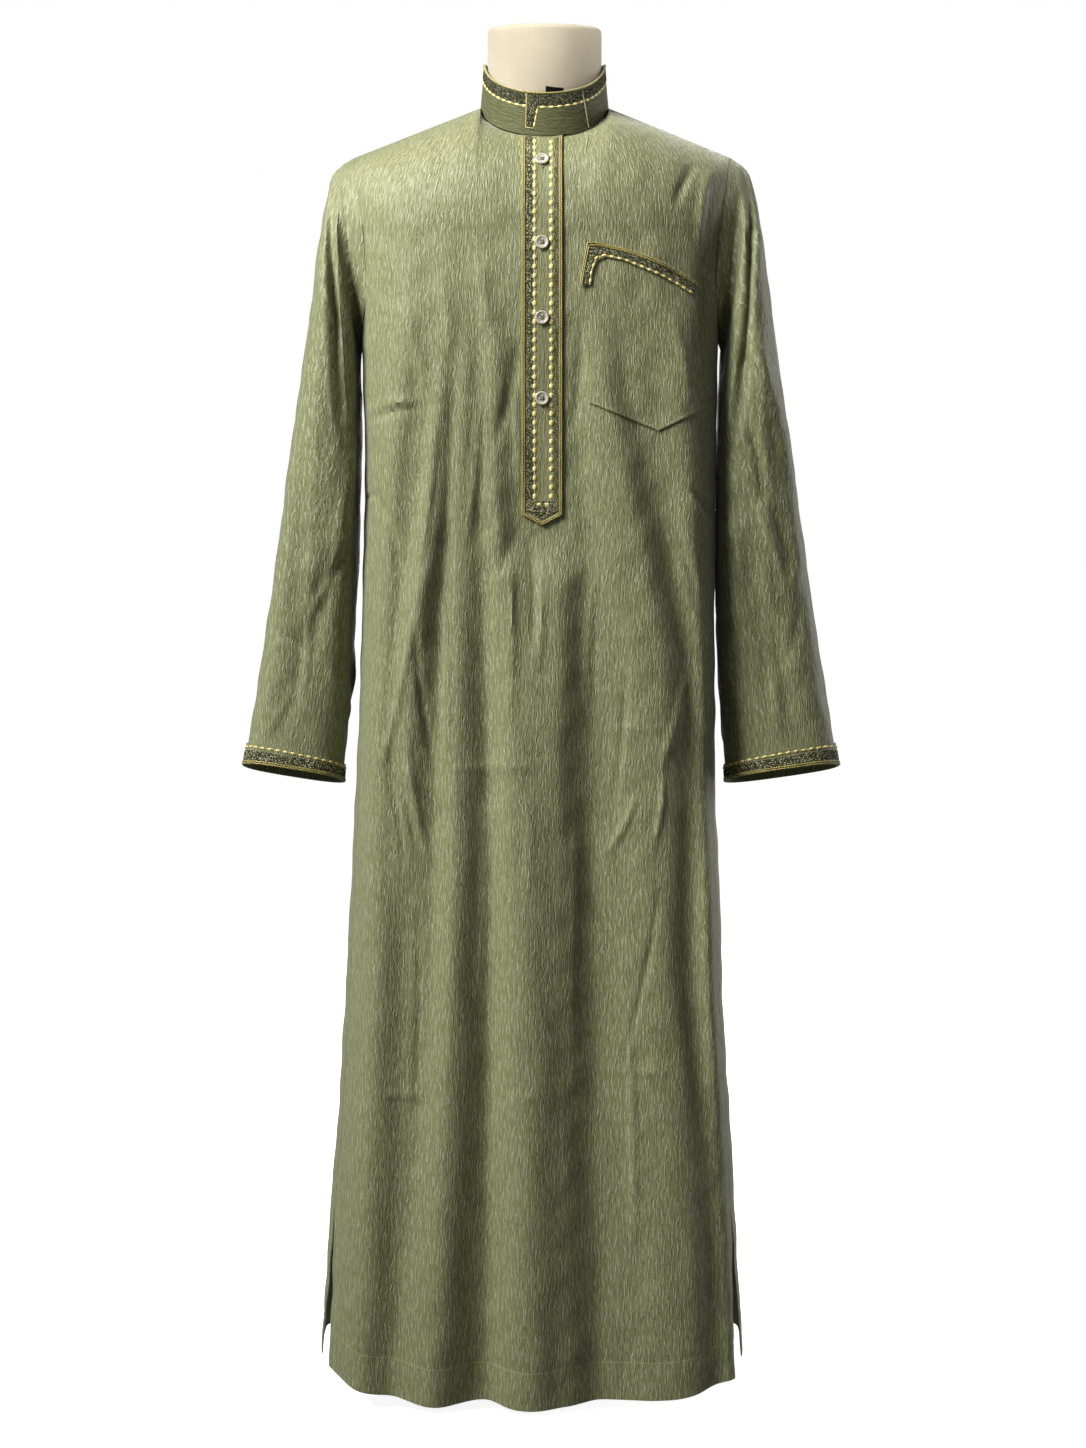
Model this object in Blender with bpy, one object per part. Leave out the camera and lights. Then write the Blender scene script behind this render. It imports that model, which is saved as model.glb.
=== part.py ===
"""A long-sleeved thobe robe (abaya) standing on a limbless dress form.

Metres, +Z up, the front faces -Y, and the origin is the centre of the stand's underside.
The body's wall is one closed section at each height, cut into a front and a back panel.
An angle of 0 is the middle of a panel, and its edges lie at the side seams and armholes.
"""

import math

import bmesh
import bpy
import numpy as np

# Cloth walls, and the gaps that keep two pieces apart
CLOTH = 0.0015
BAND = 0.0012
COLLAR_CLOTH = 0.0022
SEAM_GAP = 0.0006
ARMHOLE_GAP = 0.0012
LYING_GAP = 0.0007
POCKET_GAP = 0.0018
COLLAR_LIFT = 0.0010

# Levels on the robe
HEM = 0.011
HEM_RISE = 0.034
HEM_RISE_POWER = 5
HEM_DIP = 0.22
SLIT_TOP = 0.195
ARMPIT = 1.112
CHEST = 1.227
NECK_SIDE = 1.3605
SHOULDER_SLOPE = 0.397
FOLDS_FADE = 24

# Neck seam: an ellipse, tipped down to the front
NECK_X = 0.0037
NECK_HALF = 0.068
NECK_FRONT = 0.075
NECK_BACK = 0.066
NECK_TIP_FRONT = 0.48
NECK_TIP_BACK = 0.0
NECK_DEG = 18.05
SHOULDER_BEND = 0.010
NECK_BEND = 0.028

# Where the columns next to a panel's middle stand, as shares of the neck's half width:
# evenly on the skirt up to COLUMNS_TURN, and as evenly round the neck seam at the top
COLUMNS_TURN = 1.05
FRONT_EVEN = (0.0, 0.156, 0.312, 0.500, 0.670, 0.840, 1.0)
FRONT_NECK = (0.0, 0.156, 0.312, 0.590, 0.810, 0.951, 1.0)
BACK_EVEN = (0.0, 0.25, 0.50, 0.75, 1.0)
BACK_NECK = (0.0, 0.383, 0.707, 0.924, 1.0)

# Standing collar, a strip whose right end lies over its left one at the front
COLLAR_HEIGHT = 0.0445
COLLAR_LEAN = 0.004
COLLAR_START_DEG = -17.3
COLLAR_END_DEG = 368.7
COLLAR_OVERLAP = 0.0028
OVERLAP_FLAT_DEG = 25.0
OVERLAP_EASE_DEG = 40.0

# End of a black tape that stands up behind the collar: its turns from the front, its rises
TAB_TURNS = (1.0, 7.0, 13.0, 19.0)
TAB_RISES = (0.80, 0.98, 1.15)
TAB_THICK = 0.0010
TAB_GAP = 0.0004
TAB_SLANT = 0.0012

# Placket, buttons and chest pocket
PLACKET_X = 0.001
PLACKET_HALF = 0.0212
PLACKET_TIP = 0.9195
PLACKET_SHOULDER = 0.931
PLACKET_TOP_SHARE = 0.80
BUTTON_LEVELS = (1.298, 1.2125, 1.135, 1.0515)
BUTTON_RADIUS = 0.0072
BUTTON_THICK = 0.0026
BUTTON_GAP = 0.0004
POCKET_LEFT = (0.0487, 0.0497)
POCKET_RIGHT = (0.1610, 0.1690)
POCKET_POINT = (0.1216, 1.018)
POCKET_SIDES_LOW = (1.047, 1.041)

# Sleeves
SLEEVE_LENGTH = 0.66
SLEEVE_SIDES = 24
SLEEVE_SHIFT = -0.007
CUFF_BAND = 0.020

# Dress form and its stand
FORM_DROP = 0.0023
FORM_NECK_SPREAD = 1.003
FORM_NECK_SHARE = 0.88
FORM_NECK_GAP = 0.0004
FORM_NECK_MIDDLE = 1.350
FORM_BOTTOM = 0.62
FORM_NECK_HALF = 0.0605
FORM_NECK_DEEP = 0.0575
FORM_CAP = 1.4445
POLE_RADIUS = 0.016
BASE_RADIUS = 0.150
BASE_THICK = 0.010
HUB_TOP = 0.050
POLE_GAP = 0.0003
FLANGE_RADIUS = 0.045

# height, half width, middle x, depth in front, depth behind, squareness in front and behind
BODY = (
    (0.000, 0.2290, -0.0104, 0.180, 0.168, 5.0, 2.3),
    (0.077, 0.2233, -0.0100, 0.175, 0.163, 5.0, 2.3),
    (0.208, 0.2152, -0.0090, 0.165, 0.153, 5.0, 2.3),
    (0.296, 0.2089, -0.0076, 0.158, 0.145, 5.0, 2.3),
    (0.405, 0.2021, -0.0076, 0.150, 0.135, 5.0, 2.3),
    (0.514, 0.1974, -0.0065, 0.143, 0.127, 5.0, 2.3),
    (0.644, 0.1911, -0.0060, 0.135, 0.118, 5.0, 2.3),
    (0.730, 0.1892, -0.0040, 0.131, 0.113, 5.0, 2.3),
    (0.837, 0.1872, -0.0030, 0.127, 0.109, 4.8, 2.3),
    (0.944, 0.1863, -0.0010, 0.126, 0.107, 4.5, 2.4),
    (1.051, 0.1876, -0.0005, 0.126, 0.108, 4.2, 2.4),
    (1.112, 0.1890, -0.0010, 0.126, 0.110, 3.9, 2.5),
    (1.150, 0.1912, 0.0000, 0.126, 0.111, 3.7, 2.6),
    (1.180, 0.1945, 0.0000, 0.125, 0.112, 3.5, 2.6),
    (1.227, 0.2000, 0.0000, 0.122, 0.111, 3.3, 2.6),
    (1.309, 0.2140, 0.0015, 0.122, 0.111, 3.0, 2.6),
    (1.361, 0.2200, 0.0037, 0.122, 0.111, 3.0, 2.6),
)

# the same for the dress form's torso
FORM = (
    (0.600, 0.1480, 0.0000, 0.100, 0.092, 2.2, 2.2),
    (0.700, 0.1640, 0.0000, 0.110, 0.102, 2.2, 2.2),
    (0.800, 0.1580, 0.0000, 0.104, 0.096, 2.2, 2.2),
    (0.950, 0.1400, 0.0000, 0.094, 0.084, 2.2, 2.2),
    (1.100, 0.1660, 0.0000, 0.108, 0.094, 2.3, 2.3),
    (1.180, 0.1820, 0.0000, 0.110, 0.098, 2.4, 2.4),
    (1.227, 0.1900, 0.0000, 0.108, 0.098, 2.5, 2.5),
    (1.309, 0.2100, 0.0015, 0.108, 0.098, 2.5, 2.5),
    (1.361, 0.2155, 0.0037, 0.108, 0.098, 2.5, 2.5),
)

# height, angle of the front panel's edge, angle of the back panel's edge
SIDE_EDGES = (
    (0.000, 70.5, 100.0),
    (0.100, 72.5, 103.0),
    (0.195, 74.8, 105.1),
    (0.600, 75.5, 104.4),
    (0.950, 79.0, 100.9),
    (1.080, 86.0, 93.9),
    (1.112, 89.9, 89.9),
    (1.130, 80.7, 80.7),
    (1.150, 74.4, 74.4),
    (1.180, 70.2, 70.2),
    (1.227, 68.4, 68.4),
    (1.400, 68.4, 68.4),
)

# Folds of the front, from the side to the other: height, x of the ridge, its half widths to
# the left and right, and how far it stands out
FRONT_FOLDS = (
    (
        (0.00, -0.194, 0.030, 0.044, 0.012),
        (0.27, -0.182, 0.028, 0.040, 0.014),
        (0.58, -0.176, 0.022, 0.038, 0.011),
        (0.76, -0.172, 0.020, 0.030, 0.008),
        (0.92, -0.160, 0.024, 0.022, 0.006),
        (1.06, -0.146, 0.024, 0.020, 0.004),
        (1.18, -0.136, 0.024, 0.020, 0.000),
    ),
    (
        (0.50, -0.142, 0.020, 0.030, 0.000),
        (0.62, -0.140, 0.020, 0.030, 0.006),
        (0.76, -0.137, 0.024, 0.032, 0.012),
        (0.84, -0.127, 0.024, 0.024, 0.014),
        (0.92, -0.117, 0.020, 0.022, 0.012),
        (1.00, -0.109, 0.018, 0.018, 0.008),
        (1.15, -0.096, 0.018, 0.018, 0.000),
    ),
    (
        (0.00, -0.112, 0.050, 0.050, 0.021),
        (0.17, -0.104, 0.040, 0.050, 0.020),
        (0.37, -0.095, 0.030, 0.046, 0.018),
        (0.58, -0.089, 0.026, 0.040, 0.015),
        (0.76, -0.086, 0.024, 0.034, 0.010),
        (0.92, -0.083, 0.020, 0.028, 0.006),
        (1.00, -0.081, 0.018, 0.020, 0.005),
        (1.14, -0.078, 0.016, 0.016, 0.000),
    ),
    (
        (0.00, -0.024, 0.036, 0.048, 0.024),
        (0.27, -0.025, 0.034, 0.048, 0.024),
        (0.58, -0.029, 0.032, 0.046, 0.021),
        (0.76, -0.033, 0.028, 0.046, 0.017),
        (0.92, -0.041, 0.028, 0.052, 0.010),
        (1.00, -0.045, 0.024, 0.034, 0.006),
        (1.08, -0.048, 0.022, 0.026, 0.005),
        (1.17, -0.052, 0.022, 0.026, 0.000),
    ),
    (
        (0.00, 0.016, 0.050, 0.050, 0.019),
        (0.27, 0.014, 0.050, 0.046, 0.019),
        (0.58, 0.013, 0.048, 0.044, 0.018),
        (0.76, 0.014, 0.046, 0.042, 0.017),
        (0.87, 0.018, 0.044, 0.034, 0.011),
        (0.95, 0.021, 0.030, 0.024, 0.005),
        (1.05, 0.022, 0.020, 0.020, 0.000),
    ),
    (
        (0.00, 0.160, 0.100, 0.036, 0.014),
        (0.27, 0.152, 0.096, 0.036, 0.014),
        (0.48, 0.130, 0.080, 0.040, 0.012),
        (0.68, 0.130, 0.090, 0.040, 0.012),
        (0.84, 0.112, 0.080, 0.040, 0.012),
        (0.94, 0.090, 0.056, 0.034, 0.011),
        (1.08, 0.064, 0.034, 0.026, 0.005),
        (1.16, 0.058, 0.026, 0.022, 0.000),
    ),
    (
        (0.00, 0.224, 0.052, 0.030, 0.046),
        (0.27, 0.212, 0.050, 0.030, 0.048),
        (0.37, 0.202, 0.048, 0.026, 0.048),
        (0.58, 0.190, 0.044, 0.026, 0.036),
        (0.76, 0.186, 0.040, 0.022, 0.024),
        (0.92, 0.166, 0.040, 0.022, 0.014),
        (1.10, 0.156, 0.050, 0.026, 0.006),
        (1.18, 0.150, 0.050, 0.026, 0.000),
    ),
)

# the same for the back, seen from the front
BACK_FOLDS = (
    (
        (0.00, -0.160, 0.034, 0.034, 0.022),
        (0.70, -0.136, 0.034, 0.034, 0.010),
        (1.05, -0.120, 0.034, 0.034, 0.000),
    ),
    (
        (0.00, -0.092, 0.034, 0.032, 0.028),
        (0.70, -0.074, 0.034, 0.032, 0.013),
        (1.15, -0.062, 0.034, 0.032, 0.000),
    ),
    (
        (0.00, -0.020, 0.034, 0.030, 0.026),
        (0.65, -0.012, 0.034, 0.030, 0.012),
        (1.10, -0.010, 0.034, 0.030, 0.000),
    ),
    (
        (0.00, 0.062, 0.030, 0.034, 0.028),
        (0.70, 0.056, 0.030, 0.034, 0.012),
        (1.16, 0.050, 0.030, 0.034, 0.000),
    ),
    (
        (0.00, 0.136, 0.034, 0.032, 0.022),
        (0.70, 0.122, 0.034, 0.032, 0.010),
        (1.06, 0.112, 0.034, 0.032, 0.000),
    ),
)

# along the sleeve: top or outer point, bottom or inner point, depth in front and behind,
# middle y, how far the ring's front is tipped up, and squareness
SLEEVE = (
    (0.00, 0.1995, 1.3090, 0.1895, 1.1120, 0.062, 0.060, 0.000, 0.0, 2.0),
    (0.06, 0.2113, 1.3010, 0.1910, 1.1040, 0.073, 0.064, 0.000, 0.0, 2.1),
    (0.12, 0.2209, 1.2890, 0.1915, 1.0950, 0.078, 0.068, 0.000, 1.0, 2.3),
    (0.20, 0.2280, 1.2600, 0.1915, 1.0760, 0.082, 0.073, -0.001, 2.0, 2.7),
    (0.30, 0.2356, 1.2110, 0.1910, 1.0450, 0.085, 0.078, -0.003, 3.0, 3.2),
    (0.42, 0.2494, 1.1040, 0.1905, 0.9850, 0.086, 0.080, -0.006, 4.0, 3.6),
    (0.56, 0.2648, 0.9980, 0.1905, 0.9080, 0.081, 0.076, -0.013, 6.0, 3.8),
    (0.70, 0.2792, 0.8910, 0.1925, 0.8250, 0.069, 0.064, -0.024, 8.0, 3.6),
    (0.84, 0.2953, 0.7840, 0.1965, 0.7380, 0.054, 0.050, -0.037, 10.0, 3.2),
    (1.00, 0.3148, 0.6630, 0.2040, 0.6470, 0.039, 0.037, -0.054, 11.0, 2.6),
)

# Creases of a sleeve: place along it and angle round it at each end, half width in
# degrees and depth. Angles run from the outer side over the front to the inner side.
SLEEVE_FOLDS = (
    (0.05, 20.0, 0.45, 120.0, 26.0, 0.010),
    (0.30, 40.0, 0.85, 75.0, 24.0, 0.005),
    (0.62, 120.0, 1.00, 60.0, 22.0, 0.004),
    (0.05, -20.0, 0.45, -120.0, 26.0, 0.010),
    (0.35, -45.0, 0.90, -80.0, 24.0, 0.005),
)

# The pocket's trim band: outer edge x and height, inner edge x and height
POCKET_BAND = (
    (0.0396, 1.1685, 0.0516, 1.1680),
    (0.0430, 1.1890, 0.0530, 1.1810),
    (0.0474, 1.2130, 0.0580, 1.1935),
    (0.0560, 1.2125, 0.0670, 1.1970),
    (0.0850, 1.2060, 0.0860, 1.1930),
    (0.1080, 1.1990, 0.1040, 1.1855),
    (0.1302, 1.1900, 0.1230, 1.1775),
    (0.1480, 1.1800, 0.1390, 1.1690),
    (0.1610, 1.1705, 0.1560, 1.1580),
)

FRONT_LEVELS = (
    0.000, 0.035, 0.080, 0.135, 0.190, 0.250, 0.310, 0.370, 0.430, 0.490, 0.550,
    0.610, 0.670, 0.730, 0.790, 0.850, 0.900, 0.931, 0.975, 1.020, 1.065, 1.112,
    1.130, 1.150, 1.180, 1.205, 1.227,
)
BACK_LEVELS = (
    0.000, 0.045, 0.110, 0.190, 0.265, 0.340, 0.420, 0.500, 0.580, 0.660, 0.740,
    0.820, 0.900, 0.980, 1.050, 1.112, 1.130, 1.150, 1.180, 1.227,
)
FORM_LEVELS = (
    0.620, 0.700, 0.780, 0.860, 0.950, 1.040, 1.112, 1.150, 1.190, 1.227,
)
SLEEVE_PLACES = (
    0.06, 0.12, 0.19, 0.26, 0.33, 0.40, 0.48, 0.56, 0.64, 0.72, 0.80, 0.88, 0.955, 1.0,
)
FRONT_OUTER_COLUMNS = 15
BACK_OUTER_COLUMNS = 11
SHOULDER_STEPS = 7
FORM_COLUMNS = 5


def clear_scene():
    for obj in list(bpy.data.objects):
        bpy.data.objects.remove(obj, do_unlink=True)


def material(name, color, roughness, metallic=0.0):
    made = bpy.data.materials.new(name)
    made.use_nodes = True
    shader = made.node_tree.nodes["Principled BSDF"]
    shader.inputs["Base Color"].default_value = (*color, 1.0)
    shader.inputs["Roughness"].default_value = roughness
    shader.inputs["Metallic"].default_value = metallic
    return made


def add_object(name, points, faces, look):
    mesh = bpy.data.meshes.new(name)
    mesh.from_pydata([tuple(point) for point in points], [], faces)
    mesh.materials.append(look)
    mesh.shade_smooth()
    mesh.set_sharp_from_angle(angle=math.radians(50))
    made = bpy.data.objects.new(name, mesh)
    bpy.context.scene.collection.objects.link(made)
    return made


def face_outward(made, weld=0.00002):
    """Welds points this close together, drops faces that close up and turns the rest outward."""
    work = bmesh.new()
    work.from_mesh(made.data)
    bmesh.ops.remove_doubles(work, verts=work.verts, dist=weld)
    bmesh.ops.dissolve_degenerate(work, edges=work.edges, dist=weld / 4)
    bmesh.ops.recalc_face_normals(work, faces=work.faces)
    if work.calc_volume(signed=True) < 0:
        bmesh.ops.reverse_faces(work, faces=work.faces)
    work.to_mesh(made.data)
    work.free()


def along(table, at):
    """The table's other columns, on a smooth curve through its rows."""
    rows = np.array(table)
    keys = rows[:, 0]
    values = rows[:, 1:]
    slopes = np.gradient(values, keys, axis=0)
    at = min(max(at, keys[0]), keys[-1])
    low = min(max(int(np.searchsorted(keys, at)) - 1, 0), len(keys) - 2)
    span = keys[low + 1] - keys[low]
    t = (at - keys[low]) / span
    start = (1 + 2 * t) * (1 - t) ** 2 * values[low]
    start += t * (1 - t) ** 2 * span * slopes[low]
    end = t * t * (3 - 2 * t) * values[low + 1]
    end += t * t * (t - 1) * span * slopes[low + 1]
    return start + end


def ease(value):
    value = min(max(value, 0.0), 1.0)
    return value * value * (3 - 2 * value)


def ridge(offset, left, right):
    """1 on a fold's ridge, falling to 0 at its half width on either side."""
    share = abs(offset) / (left if offset < 0 else right)
    return 0.5 + 0.5 * math.cos(math.pi * share) if share < 1 else 0.0


def fold_height(folds, x, z):
    """How far the folds hold the cloth out here, each with a ridge that follows its rows."""
    total = 0.0
    for rows in folds:
        centre, left, right, out = along(rows, z)
        total += out * ridge(x - centre, left, right)
    return total


def quiet_share(x, z):
    """0 on the stiff placket, so that it stays smooth, and 1 away from it."""
    beside = ease((abs(x - PLACKET_X) - PLACKET_HALF) / 0.030)
    below = ease((PLACKET_TIP - z) / 0.060)
    return max(beside, below)


def top_end(side, run, drop=0.0):
    """y and z where a column ends: at the neck seam, or on the shoulder seam.

    A drop lowers it on the form below the cloth, and a little more beside the neck.
    """
    level = NECK_SIDE - SHOULDER_SLOPE * max(run - NECK_HALF, 0.0)
    level -= drop * (1 + 0.6 * ease((1.3 * NECK_HALF - run) / (0.3 * NECK_HALF)))
    reach = math.sqrt(max(1 - (run / NECK_HALF) ** 2, 0.0))
    if side < 0:
        y = -NECK_FRONT * reach
        return y, level + NECK_TIP_FRONT * y
    y = NECK_BACK * reach
    return y, level + NECK_TIP_BACK * y


def wall_point(side, angle, z, table=BODY, folds=True, drop=0.0):
    """A point of the body's wall: side is -1 in front and 1 behind, angle in radians."""
    half, middle, front, back, front_square, back_square = along(table, z)
    run = half * abs(math.sin(angle))
    x = middle + half * math.sin(angle)
    in_front = (side < 0) == (math.cos(angle) >= 0)
    deep = front if in_front else back
    square = front_square if in_front else back_square
    y = deep * max(1 - abs(math.sin(angle)) ** square, 0.0) ** (1 / square)
    facing = 1 - abs(math.sin(angle)) ** FOLDS_FADE
    if folds:
        rows = FRONT_FOLDS if in_front else BACK_FOLDS
        held = fold_height(rows, x, z) * facing
        y += held * (quiet_share(x, z) if in_front else 1.0)
    y *= -1 if in_front else 1
    if z <= CHEST:
        return np.array((x, y, z))
    end_y, end_z = top_end(side, run, drop)
    lean = SHOULDER_BEND + NECK_BEND * max(1 - (run / NECK_HALF) ** 2, 0.0)
    bend_z = end_z - lean
    rise = min((z - CHEST) / max(end_z - CHEST, 1e-6), 1.0)
    # the share t of a quadratic curve from the chest over the bend to the end
    first = 2 * (bend_z - CHEST) / (end_z - CHEST)
    second = 1 - first
    if abs(second) < 1e-9:
        t = rise / first
    else:
        t = (-first + math.sqrt(max(first * first + 4 * second * rise, 0.0))) / (2 * second)
    y = (1 - t) ** 2 * y + 2 * t * (1 - t) * y + t * t * end_y
    return np.array((x, y, z))


def column_top(side, angle, table=BODY, drop=0.0):
    """Height at which this column of the wall ends."""
    z = CHEST
    for _ in range(12):
        run = along(table, z)[0] * abs(math.sin(angle))
        z = top_end(side, run, drop)[1]
    return z


def edge_angle(side, z):
    """Angle of a panel's edge at this height, in degrees."""
    rows = np.array(SIDE_EDGES)
    return float(np.interp(z, rows[:, 0], rows[:, 1 if side < 0 else 2])) - 0.08


def column_angles(even, neck, neck_deg, edge, outer_steps, z):
    """Angles of a panel's columns at this height, from its left to its right edge."""
    share = ease((z - COLUMNS_TURN) / (CHEST - COLUMNS_TURN))
    inner = neck_deg * (np.array(even) * (1 - share) + np.array(neck) * share)
    outer = neck_deg + (edge - neck_deg) * np.arange(1, outer_steps + 1) / outer_steps
    half = np.radians(np.concatenate([inner, outer]))
    return np.concatenate([-half[:0:-1], half])


def panel_angles(side, z, outer_steps):
    shares = (FRONT_EVEN, FRONT_NECK) if side < 0 else (BACK_EVEN, BACK_NECK)
    return column_angles(*shares, NECK_DEG, edge_angle(side, z), outer_steps, z)


def hem_lift(side, angle, z):
    """The hem rises a little towards its corners, and hangs lower on a deep fold."""
    half, middle = along(BODY, z)[:2]
    held = fold_height(FRONT_FOLDS if side < 0 else BACK_FOLDS, middle + half * math.sin(angle), z)
    lift = HEM_RISE * abs(math.sin(angle)) ** HEM_RISE_POWER - HEM_DIP * held
    return lift * ease(1 - z / SLIT_TOP)


def panel_grid(side, levels, outer_steps, align=None):
    """Rows of points of a panel from its hem up to the shoulder and neck seams."""
    rows = []
    for level in levels:
        angles = panel_angles(side, level, outer_steps)
        if align:
            angles = align(angles, level)
        raised = HEM + level * (1 - HEM / CHEST)
        low = [raised + hem_lift(side, angle, level) for angle in angles]
        rows.append([wall_point(side, angle, z) for angle, z in zip(angles, low)])
    for step in range(1, SHOULDER_STEPS + 1):
        row = []
        for angle in panel_angles(side, CHEST, outer_steps):
            top = column_top(side, angle)
            z = CHEST + (top - CHEST) * step / SHOULDER_STEPS
            place = align([angle], z)[0] if align else angle
            row.append(wall_point(side, place, min(z, column_top(side, place))))
        rows.append(row)
    grid = np.array(rows)
    grid[:, :, 1] += side * SEAM_GAP / 2 * (np.arange(len(rows)) >= len(levels))[:, None]
    return grid


def placket_columns(angles, z):
    """The columns next to the middle run straight down, under the placket's edges."""
    half, middle = along(BODY, z)[:2]
    moved = []
    for angle in angles:
        share = math.degrees(angle) / NECK_DEG / FRONT_EVEN[2]
        reach = min(max(share, -3.0), 3.0)
        straight = math.asin((PLACKET_X - middle + PLACKET_HALF * reach) / half)
        keep = ease((abs(share) - 1) / 2)
        moved.append(straight + (angle - straight) * keep)
    return moved


def grid_normals(grid, wrap=False):
    """Unit normals of a grid of points, from its neighbours."""
    if wrap:
        wide = np.concatenate([grid[:, -1:], grid, grid[:, :1]], axis=1)
        across = np.gradient(wide, axis=1)[:, 1:-1]
    else:
        across = np.gradient(grid, axis=1)
    up = np.gradient(grid, axis=0)
    normal = np.cross(across, up)
    return normal / np.linalg.norm(normal, axis=2, keepdims=True)


def wall_object(name, outer, inner, look, wrap=False):
    """A closed wall between two grids of points, with both cut along the same diagonals."""
    rows, columns = outer.shape[:2]
    points = np.concatenate([outer.reshape(-1, 3), inner.reshape(-1, 3)])
    inside = rows * columns
    faces = []
    last = columns if wrap else columns - 1
    for row in range(rows - 1):
        for column in range(last):
            after = (column + 1) % columns
            a = row * columns + column
            b = row * columns + after
            c = b + columns
            d = a + columns
            faces += [(a, b, c), (a, c, d)]
            faces += [(c + inside, b + inside, a + inside), (d + inside, c + inside, a + inside)]
    for column in range(last):
        after = (column + 1) % columns
        top = (rows - 1) * columns
        faces.append((column, column + inside, after + inside, after))
        faces.append((top + column, top + after, top + after + inside, top + column + inside))
    if not wrap:
        for row in range(rows - 1):
            a = row * columns
            b = a + columns
            faces.append((a, b, b + inside, a + inside))
            a += columns - 1
            b += columns - 1
            faces.append((a, a + inside, b + inside, b))
    made = add_object(name, points, faces, look)
    face_outward(made)
    return made


def cloth_wall(name, grid, look, thick=CLOTH, out=0.0, seam=False):
    """A cloth piece whose outer face lies this far out from the grid."""
    normals = grid_normals(grid)
    if seam:
        # along the shoulder seam both panels' edges are square to its line
        on_seam = np.abs(grid[-1, :, 1]) < 0.001
        normals[-1, on_seam, 1] = 0.0
        normals[-1] /= np.linalg.norm(normals[-1], axis=1, keepdims=True)
    outer = grid + normals * out
    return wall_object(name, outer, outer - normals * thick, look)


def front_spot(x, z):
    """The point of the front's outer face at this x and height."""
    half, middle = along(BODY, z)[:2]
    return wall_point(-1, math.asin((x - middle) / half), z)


def make_front(look):
    grid = panel_grid(-1, FRONT_LEVELS, FRONT_OUTER_COLUMNS, placket_columns)
    cloth_wall("front", grid, look, seam=True)
    return grid


def make_back(look):
    grid = panel_grid(1, BACK_LEVELS, BACK_OUTER_COLUMNS)
    cloth_wall("back", grid[:, ::-1], look, seam=True)


def make_placket(front_grid, look):
    """The pointed band down the front opening, on the front's own columns."""
    middle = front_grid.shape[1] // 2
    first = next(row for row, z in enumerate(FRONT_LEVELS) if z >= PLACKET_SHOULDER)
    grid = front_grid[first:, middle - 2 : middle + 3].copy()
    for column in range(grid.shape[1]):
        x = grid[0, column, 0]
        share = abs(x - PLACKET_X) / PLACKET_HALF
        tip = PLACKET_TIP + (PLACKET_SHOULDER - PLACKET_TIP) * min(share, 1.0)
        grid[0, column] = front_spot(x, tip)
        below, top = grid[-2, column], grid[-1, column]
        grid[-1, column] = below + (top - below) * PLACKET_TOP_SHARE
    cloth_wall("placket", grid, look, BAND, LYING_GAP + BAND)


def pocket_bottom(x):
    """Height of the pocket's lower edge, which comes to a point."""
    point_x, point_z = POCKET_POINT
    if x < point_x:
        share = (x - POCKET_LEFT[1]) / (point_x - POCKET_LEFT[1])
        return POCKET_SIDES_LOW[0] + (point_z - POCKET_SIDES_LOW[0]) * share
    share = (x - point_x) / (POCKET_RIGHT[1] - point_x)
    return point_z + (POCKET_SIDES_LOW[1] - point_z) * share


def pocket_top(x):
    rows = np.array(POCKET_BAND[2:])
    return float(np.interp(x, rows[:, 0], rows[:, 1])) - 0.0015


def make_pocket(look):
    """The chest pocket, a patch that lies on the front."""
    steps = 12
    levels = 8
    rows = []
    for level in range(levels + 1):
        rise = level / levels
        left = POCKET_LEFT[1] + (POCKET_LEFT[0] - POCKET_LEFT[1]) * rise
        right = POCKET_RIGHT[1] + (POCKET_RIGHT[0] - POCKET_RIGHT[1]) * rise
        row = []
        for step in range(steps + 1):
            low_x = POCKET_LEFT[1] + (POCKET_RIGHT[1] - POCKET_LEFT[1]) * step / steps
            x = left + (right - left) * step / steps
            z = pocket_bottom(low_x) + (pocket_top(x) - pocket_bottom(low_x)) * rise
            row.append(front_spot(x, z))
        rows.append(row)
    cloth_wall("pocket", np.array(rows), look, BAND, POCKET_GAP + BAND)


def make_pocket_band(look):
    """The trim round the pocket's mouth, which turns down its left side in a short leg."""
    across = 3
    rows = []
    for step in range(across + 1):
        share = step / across
        row = []
        for outer_x, outer_z, inner_x, inner_z in POCKET_BAND:
            x = inner_x + (outer_x - inner_x) * share
            z = inner_z + (outer_z - inner_z) * share
            row.append(front_spot(x, z))
        rows.append(row)
    cloth_wall("pocket_band", np.array(rows), look, BAND, POCKET_GAP + LYING_GAP + BAND * 2)


def armhole_point(hand, side, z):
    """A point of an armhole's edge: hand is -1 at the left and 1 at the right."""
    return wall_point(side, hand * math.radians(edge_angle(side, z)), z)


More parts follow.
